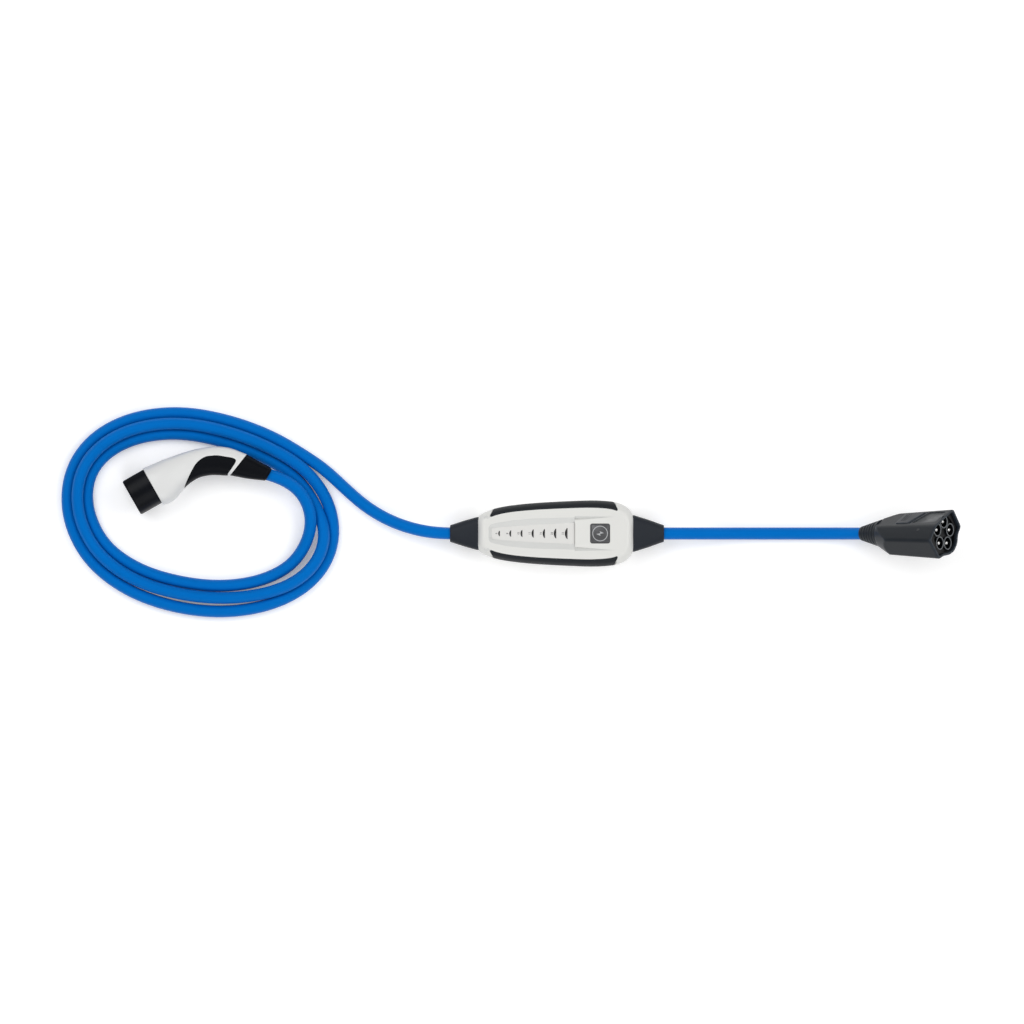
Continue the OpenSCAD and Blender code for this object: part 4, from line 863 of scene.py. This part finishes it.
connector_screw_shares = [(0.3, 0.06), (0.3, -0.09), (0.56, 0.04), (0.735, -0.02)]
connector_white = moulded_finish(
    "connector_white", (0.69, 0.695, 0.69), Roughness=0.36, Wear=0.1, Shade=0.03, Blotches=22,
    Grain=2600, Depth=0.08, Edges=0.03, Scuffs=0.12)
for side, word in ((1, "upper"), (-1, "lower")):
    shell = solid(f"connector_shell_{word}_white", outer_stack(side))
    insert_bed = carve(plate("insert_bed", insert_line, -far, far),
                       handle_core("under_insert", insert_t + play))
    screw_beds = ((1.45, -13, 1), (2.55, -far, -12)) if side < 0 else ()
    screws = [plate("screw_bed", circle(x * connector_l, y * connector_l, r, 24), z0, z1)
              for x, y in connector_screw_shares for r, z0, z1 in screw_beds]
    carve(
        shell, solid("room", inner_stack(side)), insert_bed,
        solid("sleeve_bed", [sleeve_ring(x, spigot_inset - play) for x in (20, sleeve_l + spigot_l + play)]),
        *screws)
    dress(laid(shell, connector_frame), connector_white, "connector_white", f"connector_shell_{word}")

# Grip insert. A pad of black soft rubber fills a bed on the palm side of the handle, a hair proud of the
# shells and with round corners at its front.
insert = plate("connector_grip_pad", insert_line, -far, far)
carve(insert, handle_core("outer_limit", -0.2), way="INTERSECT")
carve(insert, handle_core("under_insert", insert_t))
insert_rubber = moulded_finish(
    "insert_rubber", (0.0012, 0.0018, 0.0035), Roughness=0.45, Wear=0.2, Shade=0.4, Blotches=35,
    Grain=1500, Depth=0.3, Scuffs=0.05, Specular_IOR_Level=0.09)
dress(laid(insert, connector_frame), insert_rubber, "insert_black", "connector_grip_insert")

# Sleeve and contacts. The round nose of the connector is one hard black sleeve with a flat on its upper
# side and a rounded lip; the carrier with its seven silver-plated contacts sits just behind the lip.
profile = [
    (0, 2.2), (0.3, 1.4), (0.9, 0.7), (1.8, 0.2), (3.2, 0), (sleeve_l - 0.6, 0), (sleeve_l, 0.5),
    (sleeve_l, spigot_inset), (sleeve_l + spigot_l, spigot_inset),
    (sleeve_l + spigot_l, spigot_inset + sleeve_wall), (sleeve_l - sleeve_wall, spigot_inset + sleeve_wall),
    (sleeve_l - sleeve_wall, sleeve_wall), (0.8, sleeve_wall), (0.1, sleeve_wall - 0.7)]
sleeve = solid("connector_nose", [sleeve_ring(x, inset) for x, inset in profile], loop=True)
sleeve_black = moulded_finish(
    "nose_black", (0.0008, 0.0012, 0.0025), Roughness=0.34, Wear=0.16, Shade=0.4, Blotches=30,
    Grain=1600, Depth=0.1, Edges=2, Scuffs=0.05, Specular_IOR_Level=0.11)
dress(laid(sleeve, connector_frame), sleeve_black, "connector_black", "connector_sleeve")
finish_nodes("contact_carrier", "carrier_black", (0.01, 0.01, 0.011), Roughness=0.5, Shade=0.2,
             Blotches=60, Grain=2000, Depth=0.12)
finish_nodes("power_contacts pilot_contacts", "contact_silver", (0.72, 0.71, 0.68), group=turned,
             Metallic=1, Roughness=0.2, Stain=0.2)

# Connector boot. A black rubber boot plugs into the end of the handle and closes round the cable; it
# narrows a little, and its far corners are rounded.
boot_station_shares = [
    (0.883, -0.1355, 0.7025, -0.209, 0.5), (0.935, -0.222, 0.8, -0.292, 0.47),
    (0.985, -0.302, 0.893, -0.36, 0.44)]
boot_end = (0.992, -0.32, 0.906, -0.372, 0.38)
plug_inset, plug_in = connector_wall + 1.4, 4
rings = [
    section_ring(station_shares[-1], plug_inset, moved=tuple(-plug_in * end_way)),
    section_ring(boot_station_shares[0], plug_inset), section_ring(boot_station_shares[0], 0.5),
    section_ring(boot_station_shares[0], 0, moved=tuple(0.5 * end_way))]
rings += [section_ring(s) for s in spline(boot_station_shares, 7)[1:]]
last = boot_station_shares[-1]
for share in np.linspace(0.2, 1, 5):
    turned_in = math.sqrt(max(0, 1 - share ** 2))
    between = np.array(last) + (np.array(boot_end) - last) * share
    rings.append(section_ring(tuple(between), 2.6 * (1 - turned_in)))
connector_boot = laid(solid("connector_boot_rubber", rings), connector_frame)
bore_from, bore_to = Vector(vehicle_tail[5]), Vector(vehicle_tail[7])
bore_way = (bore_to - bore_from).normalized()
bore = plate("boot_bore", circle(0, 0, cable_bore_r), -10, 60)
bore.data.transform(Matrix.Translation(bore_from / 1000)
                    @ bore_way.to_track_quat("Z", "Y").to_matrix().to_4x4())
carve(connector_boot, bore)
dress(connector_boot, insert_rubber, "connector_black", "connector_boot")

# Coupler housing. A block of black polyamide with flat sides ends the supply cable; it takes exchangeable
# plugs on its face. Its sides are moulded with round edges and run into a cone at the rear.
coupler_l, coupler_boot_l, coupler_r, coupler_wall = 147, 36, 42, 3.2
body_l = coupler_l - coupler_boot_l
face_spot = Vector(coupler_rear) + coupler_l * Vector((math.cos(coupler_tilt), 0, math.sin(coupler_tilt)))
coupler_frame = Matrix.Translation(face_spot / 1000) @ Matrix.Rotation(math.pi / 2 - coupler_tilt, 4, "Y")
coupler_shares = [
    (0.467, 0.86), (-0.636, 0.293), (-0.836, 0.02), (-1.019, -0.26), (-0.431, -0.9), (-0.145, -0.781),
    (0.221, -0.743), (0.52, -0.62), (0.72, -0.36), (0.776, 0), (0.952, 0.245)]
coupler_taper, inset_share = 0.2, 1.5
cone_l, cone_r, limit_r = 42, 21.5, 45
plug_r, plug_l, mouth = 13, 11.2, 4
body_line = evenly(rounded([(x * coupler_r, y * coupler_r) for x, y in coupler_shares], 4.5, 6), 240)


def body_ring(z, inset=0):
    """The outline of the coupler z behind its face, held within the cone at the rear."""
    line = body_line * ((1 + coupler_taper * z / body_l) - inset_share * inset / coupler_r)
    limit = np.interp(z, (-body_l, cone_l - body_l), (cone_r, limit_r)) - inset
    return [(*(p * min(1, limit / np.linalg.norm(p))), z) for p in line]


def hole_ring(z, r):
    """A round ring whose points stand where those of the outline do."""
    return [(*(p / np.linalg.norm(p) * r), z) for p in body_line]


levels = np.concatenate([np.linspace(-body_l + 1.4, cone_l - body_l + 6, 26), np.linspace(-60, -1.6, 24)])
rings = [hole_ring(-body_l, plug_r + play), body_ring(-body_l, 1), body_ring(-body_l + 0.4, 0.3)]
rings += [body_ring(z) for z in levels] + [body_ring(-0.5, 0.3), body_ring(0, 0.9)]
rings += [body_ring(0, coupler_wall - 0.5), body_ring(-0.6, coupler_wall)]
rings += [body_ring(z, coupler_wall) for z in levels[::-3] if z < -mouth and z > -body_l + coupler_wall]
rings += [body_ring(-body_l + coupler_wall, coupler_wall), hole_ring(-body_l + coupler_wall, plug_r + play)]
housing = solid("coupler_body", rings, loop=True, smooth=28)

# The latch side is the flat between the first two corners. Its own frame has x along the flat from the
# first corner, y back from the face and z outwards.
latch_a, latch_b, screw_b = [Vector((*share, 0)) * coupler_r for share in coupler_shares[:3]]
side_way = latch_b - latch_a
side_r = latch_a.cross(latch_b).length / side_way.length
side_tilt = math.atan(side_r * coupler_taper / body_l)
side_turn = math.atan2(side_way.y, side_way.x)
side_frame = (Matrix.Translation(latch_a / 1000) @ Matrix.Rotation(side_turn, 4, "Z")
              @ Matrix.Rotation(side_tilt - math.pi / 2, 4, "X") @ Matrix.Scale(-1, 4, (0, 0, 1)))
cover_x = (0.18 * side_way.length, 0.8 * side_way.length)
cover_y, cover_back, cover_slant = 44, 78, 12


def on_latch_side(piece):
    """Moves a piece made in the frame of the latch side into the coupler's frame."""
    piece.data.transform(side_frame)
    piece.data.flip_normals()
    return piece


def cover_line(grow):
    """The outline of the latch cover: its front edge slants back."""
    return rounded([(cover_x[0] - grow, cover_y - grow), (cover_x[1] + grow, cover_y - grow + cover_slant),
                    (cover_x[1] + grow, cover_back + grow), (cover_x[0] - grow, cover_back + grow)], 2.5)


window_front, window_back, window_deep = 8, (37, 49), 1.4
window_line = rounded([(cover_x[0], window_front), (cover_x[1], window_front), (cover_x[1], window_back[1]),
                       (cover_x[0], window_back[0])], 3)
groove_over, groove_front, groove_back, groove_deep = 2, (40.2, 52.4), (41.6, 53.8), 0.7
groove_line = [(cover_x[0] - groove_over, groove_front[0]), (cover_x[1] + groove_over, groove_front[1]),
               (cover_x[1] + groove_over, groove_back[1]), (cover_x[0] - groove_over, groove_back[0])]
coupler_screw_r, coupler_screw_z = 2, -29
screw_way = screw_b - latch_b
screw_frame = (Matrix.Translation(((latch_b + screw_b) / 2 + Vector((0, 0, coupler_screw_z))) / 1000)
               @ Matrix.Rotation(math.atan2(screw_way.y, screw_way.x), 4, "Z")
               @ Matrix.Rotation(-math.pi / 2, 4, "X"))
screw_well = laid(plate("screw_well", circle(0, 0, coupler_screw_r + play, 32), -3, 6), screw_frame)
carve(housing, on_latch_side(plate("cover_bed", cover_line(play), -1, 3)),
      on_latch_side(plate("window_bed", window_line, -window_deep, 3)),
      on_latch_side(plate("groove", groove_line, -groove_deep, 3)), screw_well, smooth=28)
coupler_black = moulded_finish(
    "coupler_black", (0.0075, 0.0105, 0.0145), Roughness=0.38, Wear=0.16, Shade=0.3, Blotches=30,
    Grain=1800, Depth=0.2, Edges=3, Scuffs=0.1, Specular_IOR_Level=0.2)
dress(laid(housing, coupler_frame), coupler_black, "coupler_grey", "coupler_housing")

# Latch cover and window. A plate that slides to free the plug, and in front of it a smoother, lighter
# panel glued into its bed.
cover = on_latch_side(plate("coupler_latch_plate", cover_line(0), -0.85, 0.75, (1.05, 0.2), (1.15, 0.7)))
grip_w, grip_end, grip_low = 1.2, 6, 0.7
for grip_y in (64, 67.4, 70.8):
    grip_line = box_shape(cover_x[0] + grip_end, cover_x[1] - grip_end, grip_y, grip_y + grip_w)
    carve(cover, on_latch_side(plate("grip", rounded(grip_line, 0.5, 3), grip_low, 3)))
latch_grey = moulded_finish(
    "latch_plate_grey", (0.027, 0.031, 0.038), Roughness=0.42, Wear=0.14, Shade=0.2, Blotches=35,
    Grain=2200, Depth=0.14, Edges=1, Scuffs=0.12, Specular_IOR_Level=0.25)
dress(laid(cover, coupler_frame), latch_grey, "coupler_grey", "coupler_latch_cover")
window = on_latch_side(plate("coupler_window", window_line, -1.38, -0.7, (-0.55, 0.2)))
window_grey = moulded_finish(
    "coupler_window_grey", (0.03, 0.034, 0.039), Roughness=0.3, Wear=0.1, Shade=0.1, Blotches=40,
    Grain=2500, Depth=0.05, Scuffs=0.1, Specular_IOR_Level=0.25)
dress(laid(window, coupler_frame), window_grey, "coupler_grey")

# Face of the coupler. A near-black carrier closes the front. Each of the five steel pins stands in a
# collar whose rim is a thin ring of grey plastic.
pin_circle_r, first_pin = 17.2, 18
rim_profile = ((9.68, -0.6), (9.68, 0.1), (9.4, 0.4), (8.5, 0.4), (8.22, 0.1), (8.22, -0.6))
rims = []
for number in range(5):
    a = math.radians(first_pin + 72 * number)
    x, y = pin_circle_r * math.cos(a), pin_circle_r * math.sin(a)
    rims.append(turned_rings([(r, z - mouth) for r, z in rim_profile], x=x, y=y))
collar_rims = solid("coupler_collar_rims", *rims, loop=True)
rim_grey = moulded_finish(
    "collar_rim_grey", (0.11, 0.12, 0.13), Roughness=0.35, Shade=0.1, Blotches=90, Grain=2200,
    Depth=0.08)
dress(laid(collar_rims, coupler_frame), rim_grey, "carrier_black")
finish_nodes("pin_carrier", "coupler_face_black", (0.0015, 0.0022, 0.003), Roughness=0.45, Wear=0.12,
             Shade=0.3, Blotches=60, Grain=2000, Depth=0.12, Specular_IOR_Level=0.15)
finish_nodes("coupler_pins", "pin_steel", (0.66, 0.66, 0.65), group=turned, Metallic=1, Roughness=0.16,
             Stain=0.15)

# Coupler boot. A ribbed cone of black rubber between the cable and the body, with five soft ribs that let
# it bend; its plug is clamped in the rear wall of the body.
boot_tip, boot_wide, rib_pitch, rib_deep, rib_wide = 10.2, 20.5, 5.6, 1.3, 3.0


def boot_radius(z):
    """The radius of the ribbed cone z from its tip."""
    r = boot_tip + (boot_wide - boot_tip) * z / coupler_boot_l
    for number in range(1, 6):
        away = abs(z - number * rib_pitch - 0.9)
        if away < rib_wide / 2:
            r -= rib_deep * math.cos(math.pi * away / rib_wide) ** 2
    return r


profile = [(0, cable_bore_r + 0.2), (0, boot_tip - 0.6), (0.5, boot_tip)]
profile += [(z, boot_radius(z)) for z in np.linspace(1, coupler_boot_l - 0.4, 90)]
profile += [(coupler_boot_l - play, boot_wide - 0.6), (coupler_boot_l - play, plug_r),
            (coupler_boot_l + plug_l, plug_r), (coupler_boot_l + plug_l, cable_bore_r)]
ribbed = solid("coupler_boot_ribbed", turned_rings([(r, z - coupler_l) for z, r in profile], 72), loop=True)
dress(laid(ribbed, coupler_frame), coupler_black, "boot_rubber", "coupler_boot")

# Table and light. A white table top and three large soft lamps give an even light with a faint shadow
# under each piece.
floor_mesh = bpy.data.meshes.new("table_top")
floor_mesh.from_pydata([(-4, -4, 0), (4, -4, 0), (4, 4, 0), (-4, 4, 0)], [], [(0, 1, 2, 3)])
table_top = in_scene("table_top", floor_mesh)
table_top.location = (0, 0, -0.0006)
table_white = bpy.data.materials.new("table_white")
table_white.use_nodes = True
table_tree = table_white.node_tree
table_shader = table_tree.nodes["Principled BSDF"]
table_shader.inputs["Roughness"].default_value = 0.9
table_shader.inputs["Specular IOR Level"].default_value = 0.0
table_shader.inputs["Base Color"].default_value = (0.93, 0.93, 0.93, 1)
table_glow, sky_strength = 0.22, 0.45
rays = add_node(table_tree, "ShaderNodeLightPath").outputs
seen = maths(table_tree, "MAXIMUM", rays["Is Camera Ray"], rays["Is Glossy Ray"])
seen = maths(table_tree, "MAXIMUM", seen, rays["Is Transmission Ray"])
glow = maths(table_tree, "MULTIPLY", seen, table_glow)
table_shader.inputs["Emission Color"].default_value = (1, 1, 1, 1)
table_tree.links.new(glow, table_shader.inputs["Emission Strength"])
floor_mesh.materials.append(table_white)

world = bpy.data.worlds.new("room")
scene.world = world
world.use_nodes = True
sky = world.node_tree.nodes["Background"]
sky.inputs["Color"].default_value = (1, 1, 1, 1)
sky.inputs["Strength"].default_value = sky_strength
for name, place, size, watts in (("lamp_left", (-1.6, 1.2, 2.6), 2.2, 38),
                                 ("lamp_right", (1.8, 0.6, 2.4), 2.2, 30),
                                 ("lamp_front", (0.1, -2.2, 2.0), 2.4, 26)):
    lamp_data = bpy.data.lights.new(name, "AREA")
    lamp_data.size = size
    lamp_data.energy = watts
    lamp = in_scene(name, lamp_data)
    lamp.location = place
    lamp.rotation_euler = (Vector((0, 0, 0)) - Vector(place)).to_track_quat("-Z", "Y").to_euler()
scene.view_settings.view_transform = "Standard"

bpy.context.view_layer.update()
